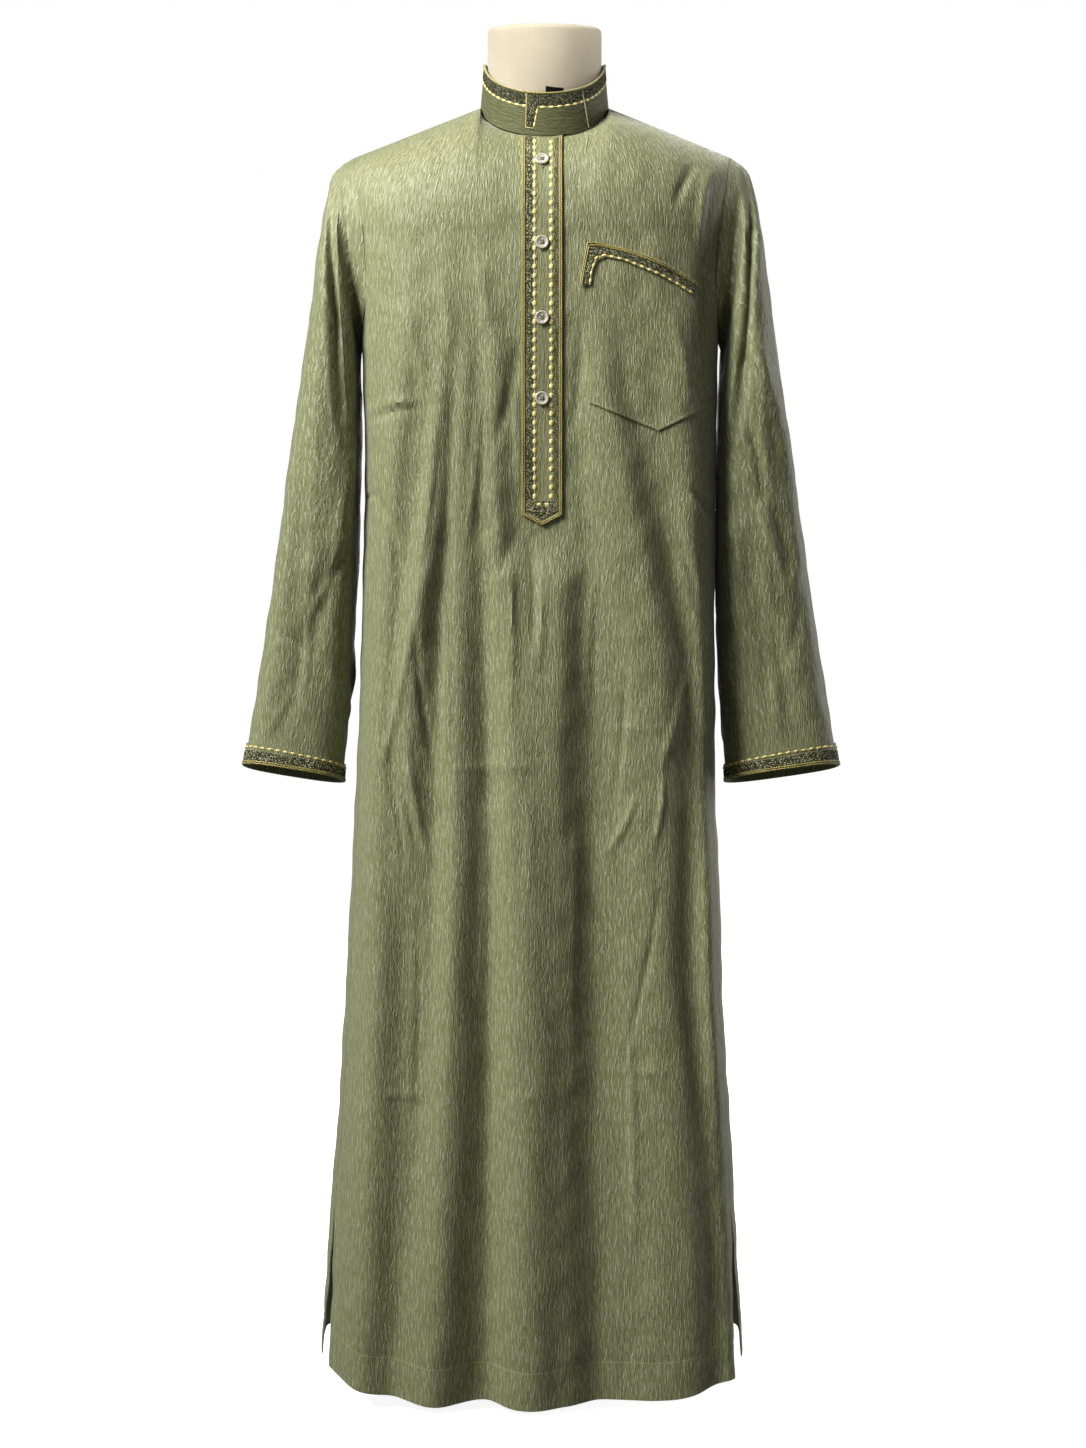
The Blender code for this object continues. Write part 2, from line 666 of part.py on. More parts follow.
def sleeve_ring(hand, place):
    """One ring of a sleeve, from its outer side over the front to its inner side."""
    outer_x, outer_z, inner_x, inner_z, front, back, middle_y, tip, square = along(SLEEVE, place)
    # the body stands a little to the left, so the sleeves' inner sides do too
    shift = SLEEVE_SHIFT * ease(place)
    outer = np.array((hand * outer_x, middle_y, outer_z))
    inner = np.array((hand * inner_x + shift, middle_y, inner_z))
    centre = (outer + inner) / 2
    reach = (outer - inner) / 2
    tipped = np.array((0, -math.cos(math.radians(tip)), math.sin(math.radians(tip))))
    ring = []
    for step in range(SLEEVE_SIDES):
        turn = 360 * step / SLEEVE_SIDES
        turn = turn if turn <= 180 else turn - 360
        angle = math.radians(turn)
        deep = front if turn >= 0 else back
        pinch = 0.0
        for first, first_turn, last, last_turn, width, depth in SLEEVE_FOLDS:
            share = (place - first) / (last - first)
            if 0 < share < 1:
                at = first_turn + (last_turn - first_turn) * share
                pinch += depth * math.sin(math.pi * share) ** 0.7 * ridge(turn - at, width, width)
        cosine, sine = math.cos(angle), math.sin(angle)
        swell = (abs(cosine) ** square + abs(sine) ** square) ** (-1 / square)
        direction = (reach * cosine + tipped * deep * sine) * swell
        length = np.linalg.norm(direction)
        ring.append(centre + direction * (1 - pinch / length))
    return ring


def armhole_ring(hand):
    """The sleeve's first ring, which follows the armhole's edge."""
    top = column_top(-1, math.radians(edge_angle(-1, CHEST)))
    ring = []
    for step in range(SLEEVE_SIDES):
        turn = 2 * math.pi * step / SLEEVE_SIDES
        z = (top + ARMPIT) / 2 + (top - ARMPIT) / 2 * math.cos(turn)
        side = -1 if turn <= math.pi else 1
        spot = armhole_point(hand, side, min(max(z, ARMPIT + 0.0005), top - 0.0002))
        spot[0] += hand * ARMHOLE_GAP
        ring.append(spot)
    return ring


def tube_normals(grid):
    """Unit normals of a tube's rings, out of the tube."""
    normals = grid_normals(grid, wrap=True)
    spread = ((grid - grid.mean(axis=1, keepdims=True)) * normals).sum()
    return normals if spread > 0 else -normals


def make_sleeve(name, hand, look):
    grid = np.array([armhole_ring(hand)] + [sleeve_ring(hand, place) for place in SLEEVE_PLACES])
    wall_object(name, grid, grid - tube_normals(grid) * CLOTH, look, wrap=True)


def make_cuff_band(name, hand, look):
    """The trim round a sleeve's end, on the sleeve's own columns."""
    start = 1 - CUFF_BAND / SLEEVE_LENGTH
    grid = np.array([sleeve_ring(hand, place) for place in (start, (1 + start) / 2, 0.9995)])
    normals = tube_normals(grid)
    inner = grid + normals * LYING_GAP
    wall_object(name, inner + normals * BAND, inner, look, wrap=True)


def collar_point(turn, rise, out=0.0):
    """A point of the collar's outer face: turn in degrees from the front, rise from 0 to 1."""
    angle = math.radians(turn)
    deep = NECK_FRONT if math.cos(angle) > 0 else NECK_BACK
    tip = NECK_TIP_FRONT if math.cos(angle) > 0 else NECK_TIP_BACK
    over = 0.0
    if turn < 90:
        over = COLLAR_OVERLAP * (1 - ease((turn - OVERLAP_FLAT_DEG) / OVERLAP_EASE_DEG))
    grow = over + out - COLLAR_LEAN * rise
    x = NECK_X + (NECK_HALF + grow) * math.sin(angle)
    seam_y = -deep * math.cos(angle)
    y = -(deep + grow) * math.cos(angle)
    z = NECK_SIDE + tip * seam_y + COLLAR_LIFT + COLLAR_HEIGHT * rise
    return np.array((x, y, z))


def make_collar(look):
    steps = 42
    levels = 3
    turns = [
        COLLAR_START_DEG + (COLLAR_END_DEG - COLLAR_START_DEG) * step / steps
        for step in range(steps + 1)
    ]
    rises = [level / levels for level in range(levels + 1)]
    outer = np.array([[collar_point(turn, rise) for turn in turns] for rise in rises])
    inner = np.array([[collar_point(turn, rise, -COLLAR_CLOTH) for turn in turns] for rise in rises])
    wall_object("collar", outer, inner, look)


def make_tab(look):
    """The end of a narrow black tape that stands up behind the collar's lower layer."""
    grids = []
    for depth in (COLLAR_CLOTH + TAB_GAP, COLLAR_CLOTH + TAB_GAP + TAB_THICK):
        rows = [[collar_point(360 + turn, rise, -depth) for turn in TAB_TURNS] for rise in TAB_RISES]
        grid = np.array(rows)
        grid[-1, :, 2] -= TAB_SLANT * np.arange(len(TAB_TURNS))
        grids.append(grid)
    wall_object("neck_tape", *grids, look)


def ring_faces(rows, count):
    """Triangles that join rings of points, one ring above the other."""
    faces = []
    for row in range(rows - 1):
        for column in range(count):
            a = row * count + column
            b = row * count + (column + 1) % count
            faces += [(a, b, b + count), (a, b + count, a + count)]
    return faces


def turned_points(profile, sides):
    """Points of a turned profile, given as radius and height rows."""
    rings = []
    for radius, z in profile:
        ring = []
        for step in range(sides):
            angle = 2 * math.pi * step / sides
            ring.append((radius * math.cos(angle), radius * math.sin(angle), z))
        rings.append(ring)
    return np.array(rings)


def turned_object(name, profile, sides, look):
    """A solid of revolution with flat ends."""
    rings = turned_points(profile, sides)
    rows = len(profile)
    faces = ring_faces(rows, sides)
    faces.append(tuple(reversed(range(sides))))
    faces.append(tuple((rows - 1) * sides + column for column in range(sides)))
    made = add_object(name, rings.reshape(-1, 3), faces, look)
    face_outward(made)
    return made


def make_buttons(look):
    """Four shirt buttons with a raised rim, flat on the placket."""
    profile = (
        (BUTTON_RADIUS * 0.80, 0.0),
        (BUTTON_RADIUS, BUTTON_THICK * 0.35),
        (BUTTON_RADIUS, BUTTON_THICK * 0.75),
        (BUTTON_RADIUS * 0.88, BUTTON_THICK),
        (BUTTON_RADIUS * 0.72, BUTTON_THICK),
        (BUTTON_RADIUS * 0.62, BUTTON_THICK * 0.72),
    )
    out = LYING_GAP + BAND + BUTTON_GAP
    for number, level in enumerate(BUTTON_LEVELS, 1):
        made = turned_object(f"button_{number}", profile, 16, look)
        spot = front_spot(PLACKET_X, level)
        side = front_spot(PLACKET_X + 0.004, level) - front_spot(PLACKET_X - 0.004, level)
        up = front_spot(PLACKET_X, level + 0.008) - front_spot(PLACKET_X, level - 0.008)
        normal = np.cross(side, up)
        normal /= np.linalg.norm(normal)
        made.location = spot + normal * out
        made.rotation_mode = "XYZ"
        made.rotation_euler = (math.atan2(-normal[1], normal[2]), 0.0, 0.0)


def form_grid(side):
    """Rows of points of one side of the dress form's torso."""
    rows = []
    neck_half = NECK_HALF * FORM_NECK_SPREAD
    neck_deg = math.degrees(math.asin(neck_half / along(FORM, NECK_SIDE)[0]))
    settings = {"table": FORM, "folds": False, "drop": FORM_DROP}
    for level in FORM_LEVELS:
        edge = edge_angle(side, level) if level > ARMPIT else 90.0
        angles = column_angles(BACK_EVEN, BACK_NECK, neck_deg, edge, FORM_COLUMNS, level)
        rows.append([wall_point(side, angle, level, **settings) for angle in angles])
    for step in range(1, SHOULDER_STEPS + 1):
        row = []
        for angle in angles:
            top = column_top(side, angle, FORM, FORM_DROP)
            z = CHEST + (top - CHEST) * step / SHOULDER_STEPS
            row.append(wall_point(side, angle, z, **settings))
        rows.append(row)
    return np.array(rows)


def make_torso(look):
    """The torso: both sides welded along the shoulders, with plates over the armholes."""
    front, back = form_grid(-1), form_grid(1)
    loops = np.concatenate([front, back[:, ::-1]], axis=1)
    rows, count = loops.shape[:2]
    points = [tuple(point) for point in loops.reshape(-1, 3)]
    columns = front.shape[1]
    faces = ring_faces(rows, count)
    top = (rows - 1) * count
    neck = list(range(top + FORM_COLUMNS, top + columns - FORM_COLUMNS))
    neck += list(range(top + columns + FORM_COLUMNS, top + count - FORM_COLUMNS))
    centre = len(points)
    points.append((NECK_X, 0.0, FORM_NECK_MIDDLE))
    for first, second in zip(neck, neck[1:] + neck[:1]):
        faces.append((first, second, centre))
    low = len(points)
    points.append((0.0, 0.0, FORM_BOTTOM))
    for column in range(count):
        faces.append((column, low, (column + 1) % count))
    made = add_object("form_torso", points, faces, look)
    face_outward(made, weld=0.0002)
    loop = [points[index] for index in neck]
    return np.array(loop)


def make_neck(loop, look):
    """The neck stands on the torso's neck line and ends in a flat, round-edged cap."""
    levels = (0.0, 0.35, 0.7, 0.92, 0.985, 1.0)
    shrink = (0.0, 0.0, 0.0, 0.0, 0.0035, 0.009)
    centre = np.array((NECK_X, 0.0, FORM_NECK_MIDDLE))
    gap = np.array((0.0, 0.0, FORM_NECK_GAP))
    base = centre + (loop - centre) * FORM_NECK_SHARE + gap
    rings = []
    for level, less in zip(levels, shrink):
        ring = []
        for low in base:
            angle = math.atan2(low[1] / NECK_FRONT, (low[0] - NECK_X) / NECK_HALF)
            x = NECK_X + (FORM_NECK_HALF - less) * math.cos(angle)
            y = (FORM_NECK_DEEP - less) * math.sin(angle)
            high = np.array((x, y, low[2] + (FORM_CAP - low[2]) * level))
            settle = ease(level * 2.2)
            mixed = low * (1 - settle) + high * settle
            mixed[2] = high[2]
            ring.append(mixed)
        rings.append(ring)
    grid = np.array(rings)
    rows, count = grid.shape[:2]
    points = [tuple(point) for point in grid.reshape(-1, 3)]
    faces = ring_faces(rows, count)
    top = (rows - 1) * count
    low, high = len(points), len(points) + 1
    points += [tuple(centre + gap), (NECK_X, 0.0, FORM_CAP)]
    for column in range(count):
        after = (column + 1) % count
        faces.append((after, column, low))
        faces.append((top + column, top + after, high))
    made = add_object("form_neck", points, faces, look)
    face_outward(made)


def make_stand(metal):
    base = (
        (BASE_RADIUS - 0.003, 0.0),
        (BASE_RADIUS, 0.003),
        (BASE_RADIUS, BASE_THICK - 0.003),
        (BASE_RADIUS - 0.004, BASE_THICK),
        (0.026, BASE_THICK + 0.001),
        (0.024, HUB_TOP - 0.004),
        (0.020, HUB_TOP),
    )
    turned_object("stand_base", base, 40, metal)
    flange = FORM_BOTTOM - POLE_GAP
    pole = (
        (POLE_RADIUS, HUB_TOP + POLE_GAP),
        (POLE_RADIUS, flange - 0.012),
        (FLANGE_RADIUS, flange - 0.006),
        (FLANGE_RADIUS, flange),
    )
    turned_object("stand_pole", pole, 24, metal)


def main():
    clear_scene()
    cloth = material("sage robe cloth", (0.180, 0.200, 0.090), 0.75)
    trim = material("embroidered trim", (0.200, 0.190, 0.070), 0.70)
    pearl = material("pearl button", (0.700, 0.660, 0.550), 0.25)
    black = material("black tape", (0.010, 0.012, 0.010), 0.80)
    cotton = material("cream form cover", (0.750, 0.690, 0.560), 0.85)
    steel = material("white stand steel", (0.600, 0.600, 0.590), 0.40)
    front_grid = make_front(cloth)
    make_back(cloth)
    for name, hand in (("left", -1), ("right", 1)):
        make_sleeve(f"sleeve_{name}", hand, cloth)
        make_cuff_band(f"cuff_band_{name}", hand, trim)
    make_collar(cloth)
    make_placket(front_grid, trim)
    make_pocket(cloth)
    make_pocket_band(trim)
    make_buttons(pearl)
    make_tab(black)
    neck_loop = make_torso(cotton)
    make_neck(neck_loop, cotton)
    make_stand(steel)


main()
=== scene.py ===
"""A sage thobe robe on a limbless dress form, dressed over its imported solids.

Metres, +Z up, the front faces -Y. The sections follow the object from its stand to its trim.
"""

import math

import bpy
import numpy as np
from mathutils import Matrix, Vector


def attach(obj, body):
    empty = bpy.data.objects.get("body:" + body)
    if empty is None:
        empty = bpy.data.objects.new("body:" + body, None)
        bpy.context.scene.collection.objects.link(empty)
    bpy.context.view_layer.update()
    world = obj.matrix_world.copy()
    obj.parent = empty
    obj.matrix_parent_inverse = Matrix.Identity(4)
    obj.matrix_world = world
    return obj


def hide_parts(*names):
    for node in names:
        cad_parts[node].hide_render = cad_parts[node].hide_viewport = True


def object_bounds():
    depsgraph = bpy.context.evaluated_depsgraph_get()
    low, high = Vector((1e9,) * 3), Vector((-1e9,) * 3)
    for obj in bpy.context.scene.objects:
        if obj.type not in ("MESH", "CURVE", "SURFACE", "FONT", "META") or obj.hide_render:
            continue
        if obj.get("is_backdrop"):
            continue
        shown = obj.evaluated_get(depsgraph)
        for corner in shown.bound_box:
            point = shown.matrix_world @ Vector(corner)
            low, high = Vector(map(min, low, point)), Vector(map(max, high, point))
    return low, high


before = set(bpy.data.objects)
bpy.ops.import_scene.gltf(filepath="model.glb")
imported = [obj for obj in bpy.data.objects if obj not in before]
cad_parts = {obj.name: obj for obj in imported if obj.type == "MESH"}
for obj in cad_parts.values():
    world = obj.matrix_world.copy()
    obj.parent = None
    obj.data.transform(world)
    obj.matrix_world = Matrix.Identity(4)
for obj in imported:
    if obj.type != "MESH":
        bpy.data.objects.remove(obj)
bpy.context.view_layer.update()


# The stand: a turned steel base plate with a hub, and a steel pole with a round flange that
# carries the form. Both are powder coated, which leaves a fine, even orange peel.


def linear(code):
    """Linear RGBA of an sRGB hex colour."""
    parts = [int(code[at : at + 2], 16) / 255 for at in (1, 3, 5)]
    parts = [part / 12.92 if part < 0.04045 else ((part + 0.055) / 1.055) ** 2.4 for part in parts]
    return (*parts, 1.0)


def link(tree, node, links):
    """Links each named input of a node to its source, which is a socket or a node."""
    for name, source in links.items():
        socket = source.outputs[0] if isinstance(source, bpy.types.Node) else source
        tree.links.new(socket, node.inputs[name])


def add(tree, kind, settings=None, links=None):
    """Adds a node: a setting is an input or a property, a link an input and its source."""
    made = tree.nodes.new(kind)
    for name, value in (settings or {}).items():
        if isinstance(name, int) or name in made.inputs:
            made.inputs[name].default_value = value
        else:
            setattr(made, name, value)
    link(tree, made, links or {})
    return made


def new_look(name, **values):
    """A material, its node tree and its shader, with these values on the shader's sockets."""
    made = bpy.data.materials.new(name)
    made.use_nodes = True
    shader = made.node_tree.nodes["Principled BSDF"]
    for socket, value in values.items():
        shader.inputs[socket.replace("_", " ")].default_value = value
    return made, made.node_tree, shader


def powder_coat():
    """Powder-coated steel: a baked polyester film with a 2 mm orange peel and soft gloss."""
    made, tree, shader = new_look("powder_coated_steel", Roughness=0.42)
    place = add(tree, "ShaderNodeTexCoord").outputs["Object"]
    peel = add(tree, "ShaderNodeTexNoise", {"Scale": 500.0, "Detail": 2.0}, {"Vector": place})
    dust = add(tree, "ShaderNodeTexNoise", {"Scale": 14.0, "Detail": 4.0}, {"Vector": place})
    tone = add(
        tree, "ShaderNodeMix", {"data_type": "RGBA", 6: linear("#dcdad4"), 7: linear("#e9e8e4")},
        {0: dust}
    )
    bump = add(tree, "ShaderNodeBump", {"Strength": 0.5, "Distance": 0.0003}, {"Height": peel})
    link(tree, shader, {"Base Color": tone.outputs[2], "Normal": bump})
    return made


coat = powder_coat()
for name in ("stand_base", "stand_pole"):
    stand_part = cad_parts[name]
    stand_part.data.materials.clear()
    stand_part.data.materials.append(coat)


# The dress form: a papier-mache torso and neck stub covered in unbleached cotton canvas,
# drawn tight and stitched at the sides. The robe's shoulders and neck seam rest on it.

NECK_X = 0.0037
NECK_HALF = 0.068
NECK_FRONT = 0.075
NECK_BACK = 0.066
CAP_TOP = 1.4445
STUB_HALF = 0.0605
STUB_DEEP = 0.0575
STUB_LEVELS = (1.352, 1.36, 1.38, 1.4, 1.42, 1.436)
RIM_ROUND = 0.006
CANVAS_WALL = 0.002

# how far in from the stub's side and down from its top the sunk cap lies
CAP_PROFILE = (
    (0.0085, 0.0003), (0.011, 0.0014), (0.013, 0.0024), (0.016, 0.0026), (0.04, 0.0024),
    (0.057, 0.0022)
)

# a Wave texture's bands are this long at a scale of 1
WAVE = 0.314


def ease(value):
    value = np.clip(value, 0.0, 1.0)
    return value * value * (3 - 2 * value)


def grid_normals(grid, wrap=False):
    """Unit normals of a grid of points, from its neighbours."""
    if wrap:
        wide = np.concatenate([grid[:, -1:], grid, grid[:, :1]], axis=1)
        across = np.gradient(wide, axis=1)[:, 1:-1]
    else:
        across = np.gradient(grid, axis=1)
    normal = np.cross(across, np.gradient(grid, axis=0))
    return normal / np.maximum(np.linalg.norm(normal, axis=2, keepdims=True), 1e-12)


def flat_cut(grid, wrap=False, middle=True):
    """Metres across and up the flat cloth at each point, from the lengths on the grid."""
    loop = np.concatenate([grid, grid[:, :1]], axis=1) if wrap else grid
    steps = np.linalg.norm(np.diff(loop, axis=1), axis=2)
    across = np.concatenate([np.zeros((len(loop), 1)), np.cumsum(steps, axis=1)], axis=1)
    if middle:
        across -= across[:, loop.shape[1] // 2, None]
    climbs = np.linalg.norm(np.diff(loop, axis=0), axis=2)
    up = np.concatenate([np.zeros((1, loop.shape[1])), np.cumsum(climbs, axis=0)], axis=0)
    return np.stack([across, up], axis=2)


def add_mesh(name, points, faces, look, maps=None):
    """A smooth mesh. Each map gives a name and the coordinates of every face's corners."""
    mesh = bpy.data.meshes.new(name)
    mesh.from_pydata(points.tolist(), [], faces.tolist() if hasattr(faces, "tolist") else faces)
    for label, corners in (maps or {}).items():
        layer = mesh.uv_layers.new(name=label)
        layer.data.foreach_set("uv", np.asarray(corners, np.float32).ravel())
    mesh.materials.append(look)
    mesh.shade_smooth()
    mesh.set_sharp_from_angle(angle=math.radians(55))
    made = bpy.data.objects.new(name, mesh)
    bpy.context.scene.collection.objects.link(made)
    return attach(made, "root")


def shell(name, outer, inner, look, cut, edges=None, wrap=False):
    """A closed wall between two grids, with the flat cut as its map in metres. Its faces are
    turned round where the grids run the other way, so that they always look out."""
    rows, columns = outer.shape[:2]
    mapped = cut.shape[1]
    last = columns if wrap else columns - 1
    row, column = (part.ravel() for part in np.mgrid[0 : rows - 1, 0:last])
    above, beside = row + 1, column + 1

    def corner(r, c, inside):
        point = r * columns + c % columns + inside * rows * columns
        return point, r * mapped + c

    def face(*places):
        found = [corner(*place) for place in places]
        return np.stack([f[0] for f in found], 1), np.stack([f[1] for f in found], 1)

    parts = [
        face((row, column, 0), (row, beside, 0), (above, beside, 0), (above, column, 0)),
        face((row, column, 1), (above, column, 1), (above, beside, 1), (row, beside, 1))
    ]
    c = np.arange(last)
    low, top = np.zeros_like(c), np.full_like(c, rows - 1)
    parts.append(face((low, c, 0), (low, c, 1), (low, c + 1, 1), (low, c + 1, 0)))
    parts.append(face((top, c, 0), (top, c + 1, 0), (top, c + 1, 1), (top, c, 1)))
    if not wrap:
        r = np.arange(rows - 1)
        left, right = np.zeros_like(r), np.full_like(r, columns - 1)
        parts.append(face((r, left, 0), (r + 1, left, 0), (r + 1, left, 1), (r, left, 1)))
        parts.append(face((r, right, 0), (r, right, 1), (r + 1, right, 1), (r + 1, right, 0)))
    faces = np.concatenate([part[0] for part in parts])
    spots = np.concatenate([part[1] for part in parts])
    points = np.concatenate([outer.reshape(-1, 3), inner.reshape(-1, 3)])
    a, b, c, d = np.moveaxis(points[faces], 1, 0)
    if (a * np.cross(b, c) + a * np.cross(c, d)).sum() < 0:
        faces, spots = faces[:, [0, 3, 2, 1]], spots[:, [0, 3, 2, 1]]
    maps = {"cut": cut.reshape(-1, 2)[spots]}
    if edges is not None:
        maps["edges"] = edges.reshape(-1, 2)[spots]
    return add_mesh(name, points, faces, look, maps)


def cotton_canvas():
    """Unbleached cotton canvas: matt, warm and slightly fuzzy, in a plain weave of 0.8 mm
    threads, which is drawn at 1.6 mm so that it shows."""
    made, tree, shader = new_look(
        "unbleached_cotton_canvas", Roughness=0.9, Sheen_Weight=0.25, Sheen_Roughness=0.6,
        Specular_IOR_Level=0.2
    )
    cut = add(tree, "ShaderNodeUVMap", {"uv_map": "cut"})
    warp, weft = (
        add(
            tree, "ShaderNodeTexWave",
            {"bands_direction": direction, "Scale": WAVE / 0.0016, "Distortion": 1.5},
            {"Vector": cut}
        )
        for direction in ("X", "Y")
    )
    weave = add(tree, "ShaderNodeMath", {"operation": "MULTIPLY"}, {0: warp, 1: weft})
    stain = add(tree, "ShaderNodeTexNoise", {"Scale": 22.0, "Detail": 5.0}, {"Vector": cut})
    shade = add(
        tree, "ShaderNodeMix", {"data_type": "RGBA", 6: linear("#a0957e"), 7: linear("#b5ab95")},
        {0: stain}
    )
    grain = add(
        tree, "ShaderNodeMix", {"data_type": "RGBA", "blend_type": "MULTIPLY", 0: 0.24},
        {6: shade.outputs[2], 7: weave}
    )
    bump = add(tree, "ShaderNodeBump", {"Strength": 0.6, "Distance": 0.0003}, {"Height": weave})
    link(tree, shader, {"Base Color": grain.outputs[2], "Normal": bump})
    return made


def neck_stub(sides=120):
    """The neck's rings: straight up, over a rolled rim, then down to a cap sunk 2.5 mm in it."""
    turn = np.linspace(0, 2 * math.pi, sides, endpoint=False)
    profile = [(0.0, level) for level in STUB_LEVELS]
    for bend in np.linspace(0.1, 1.0, 8) * math.pi / 2:
        inward, rise = RIM_ROUND * (1 - math.cos(bend)), RIM_ROUND * math.sin(bend)
        profile.append((inward, CAP_TOP - RIM_ROUND + rise))
    profile += [(inward, CAP_TOP - down) for inward, down in CAP_PROFILE]
    rings = []
    for less, z in profile:
        x = NECK_X + (STUB_HALF - less) * np.cos(turn)
        y = (STUB_DEEP - less) * np.sin(turn)
        rings.append(np.stack([x, y, np.full(sides, z)], axis=1))
    return np.array(rings)


canvas = cotton_canvas()
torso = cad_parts["form_torso"]
torso.data.materials.clear()
torso.data.materials.append(canvas)
stub_rings = neck_stub()
stub = shell(
    "neck_stub", stub_rings, stub_rings - grid_normals(stub_rings, wrap=True) * CANVAS_WALL, canvas,
    flat_cut(stub_rings, wrap=True), wrap=True
)
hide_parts("form_neck")


# The front: one long panel of crinkled cotton blend, cut from the neck and shoulder seams to
# a 39 mm turned and topstitched hem, with its sides slit. Its folds hang from the chest.

HEM = 0.011
HEM_TURN = 0.039
HEM_CORNER = 0.034
FOLD_DROP = 0.22
CHEST = 1.227
SLIT_TOP = 0.195
SLIT_TURN = 0.011
NECK_SIDE = 1.3605
NECK_DEG = 18.05
NECK_DROP = 0.48
SHOULDER_SLOPE = 0.397
SEAM_GAP = 0.0006
SEAM_GAP_DEG = 0.08
CLOTH = 0.0012

# how far the cloth leans out of its top seam, at the shoulder and more so by the neck
SEAM_LEAN = (0.01, 0.028)

# the placket's middle, half width and point, under which the front lies flat
PLACKET_X = 0.001
PLACKET_HALF = 0.0212
PLACKET_TIP = 0.9195
FLAT_BESIDE = 0.03
FLAT_BELOW = 0.06

# height, half width, middle x, depth in front, depth behind, squareness in front and behind
BODY = (
    (0.0, 0.229, -0.0104, 0.18, 0.168, 5.0, 2.3), (0.077, 0.2233, -0.01, 0.175, 0.163, 5.0, 2.3),
    (0.208, 0.2152, -0.009, 0.165, 0.153, 5.0, 2.3),
    (0.296, 0.2089, -0.0076, 0.158, 0.145, 5.0, 2.3),
    (0.405, 0.2021, -0.0076, 0.15, 0.135, 5.0, 2.3),
    (0.514, 0.1974, -0.0065, 0.143, 0.127, 5.0, 2.3),
    (0.644, 0.1911, -0.006, 0.135, 0.118, 5.0, 2.3), (0.73, 0.1892, -0.004, 0.131, 0.113, 5.0, 2.3),
    (0.837, 0.1872, -0.003, 0.127, 0.109, 4.8, 2.3),
    (0.944, 0.1863, -0.001, 0.126, 0.107, 4.5, 2.4),
    (1.051, 0.1876, -0.0005, 0.126, 0.108, 4.2, 2.4), (1.112, 0.189, -0.001, 0.126, 0.11, 3.9, 2.5),
    (1.15, 0.1912, 0.0, 0.126, 0.111, 3.7, 2.6), (1.18, 0.1945, 0.0, 0.125, 0.112, 3.5, 2.6),
    (1.227, 0.2, 0.0, 0.122, 0.111, 3.3, 2.6), (1.309, 0.214, 0.0015, 0.122, 0.111, 3.0, 2.6),
    (1.361, 0.22, 0.0037, 0.122, 0.111, 3.0, 2.6)
)

# height, and the angle in degrees of the front's edge and of the back's edge
SIDE_EDGES = (
    (0.0, 70.5, 100.0), (0.1, 72.5, 103.0), (0.195, 74.8, 105.1), (0.6, 75.5, 104.4),
    (0.95, 79.0, 100.9), (1.08, 86.0, 93.9), (1.112, 89.9, 89.9), (1.13, 80.7, 80.7),
    (1.15, 74.4, 74.4), (1.18, 70.2, 70.2), (1.227, 68.4, 68.4), (1.4, 68.4, 68.4)
)

# Folds of the front, from one side to the other, in millimetres: height, x of the ridge, its
# half widths to the left and right, and how far it stands out
FRONT_FOLDS = (
    (
        (0, -194, 30, 44, 12), (270, -182, 28, 40, 14), (580, -176, 22, 38, 11),
        (760, -172, 20, 30, 8), (920, -160, 24, 22, 6), (1060, -146, 24, 20, 4),
        (1180, -136, 24, 20, 0)
    ),
    (
        (500, -142, 20, 30, 0), (620, -140, 20, 30, 6), (760, -137, 24, 32, 12),
        (840, -127, 24, 24, 14), (920, -117, 20, 22, 12), (1000, -109, 18, 18, 8),
        (1150, -96, 18, 18, 0)
    ),
    (
        (0, -112, 50, 50, 21), (170, -104, 40, 50, 20), (370, -95, 30, 46, 18),
        (580, -89, 26, 40, 15), (760, -86, 24, 34, 10), (920, -83, 20, 28, 6),
        (1000, -81, 18, 20, 5), (1140, -78, 16, 16, 0)
    ),
    (
        (0, -24, 36, 48, 24), (270, -25, 34, 48, 24), (580, -29, 32, 46, 21),
        (760, -33, 28, 46, 17), (920, -41, 28, 52, 10), (1000, -45, 24, 34, 6),
        (1080, -48, 22, 26, 5), (1170, -52, 22, 26, 0)
    ),
    (
        (0, 16, 50, 50, 19), (270, 14, 50, 46, 19), (580, 13, 48, 44, 18), (760, 14, 46, 42, 17),
        (870, 18, 44, 34, 11), (950, 21, 30, 24, 5), (1050, 22, 20, 20, 0)
    ),
    (
        (0, 160, 100, 36, 14), (270, 152, 96, 36, 14), (480, 130, 80, 40, 12),
        (680, 130, 90, 40, 12), (840, 112, 80, 40, 12), (940, 90, 56, 34, 11),
        (1080, 64, 34, 26, 5), (1160, 58, 26, 22, 0)
    ),
    (
        (0, 224, 52, 30, 46), (270, 212, 50, 30, 48), (370, 202, 48, 26, 48),
        (580, 190, 44, 26, 36), (760, 186, 40, 22, 24), (920, 166, 40, 22, 14),
        (1100, 156, 50, 26, 6), (1180, 150, 50, 26, 0)
    )
)

# the same for the back, seen from the front
BACK_FOLDS = (
    ((0, -160, 34, 34, 22), (700, -136, 34, 34, 10), (1050, -120, 34, 34, 0)),
    ((0, -92, 34, 32, 28), (700, -74, 34, 32, 13), (1150, -62, 34, 32, 0)),
    ((0, -20, 34, 30, 26), (650, -12, 34, 30, 12), (1100, -10, 34, 30, 0)),
    ((0, 62, 30, 34, 28), (700, 56, 30, 34, 12), (1160, 50, 30, 34, 0)),
    ((0, 136, 34, 32, 22), (700, 122, 34, 32, 10), (1060, 112, 34, 32, 0))
)

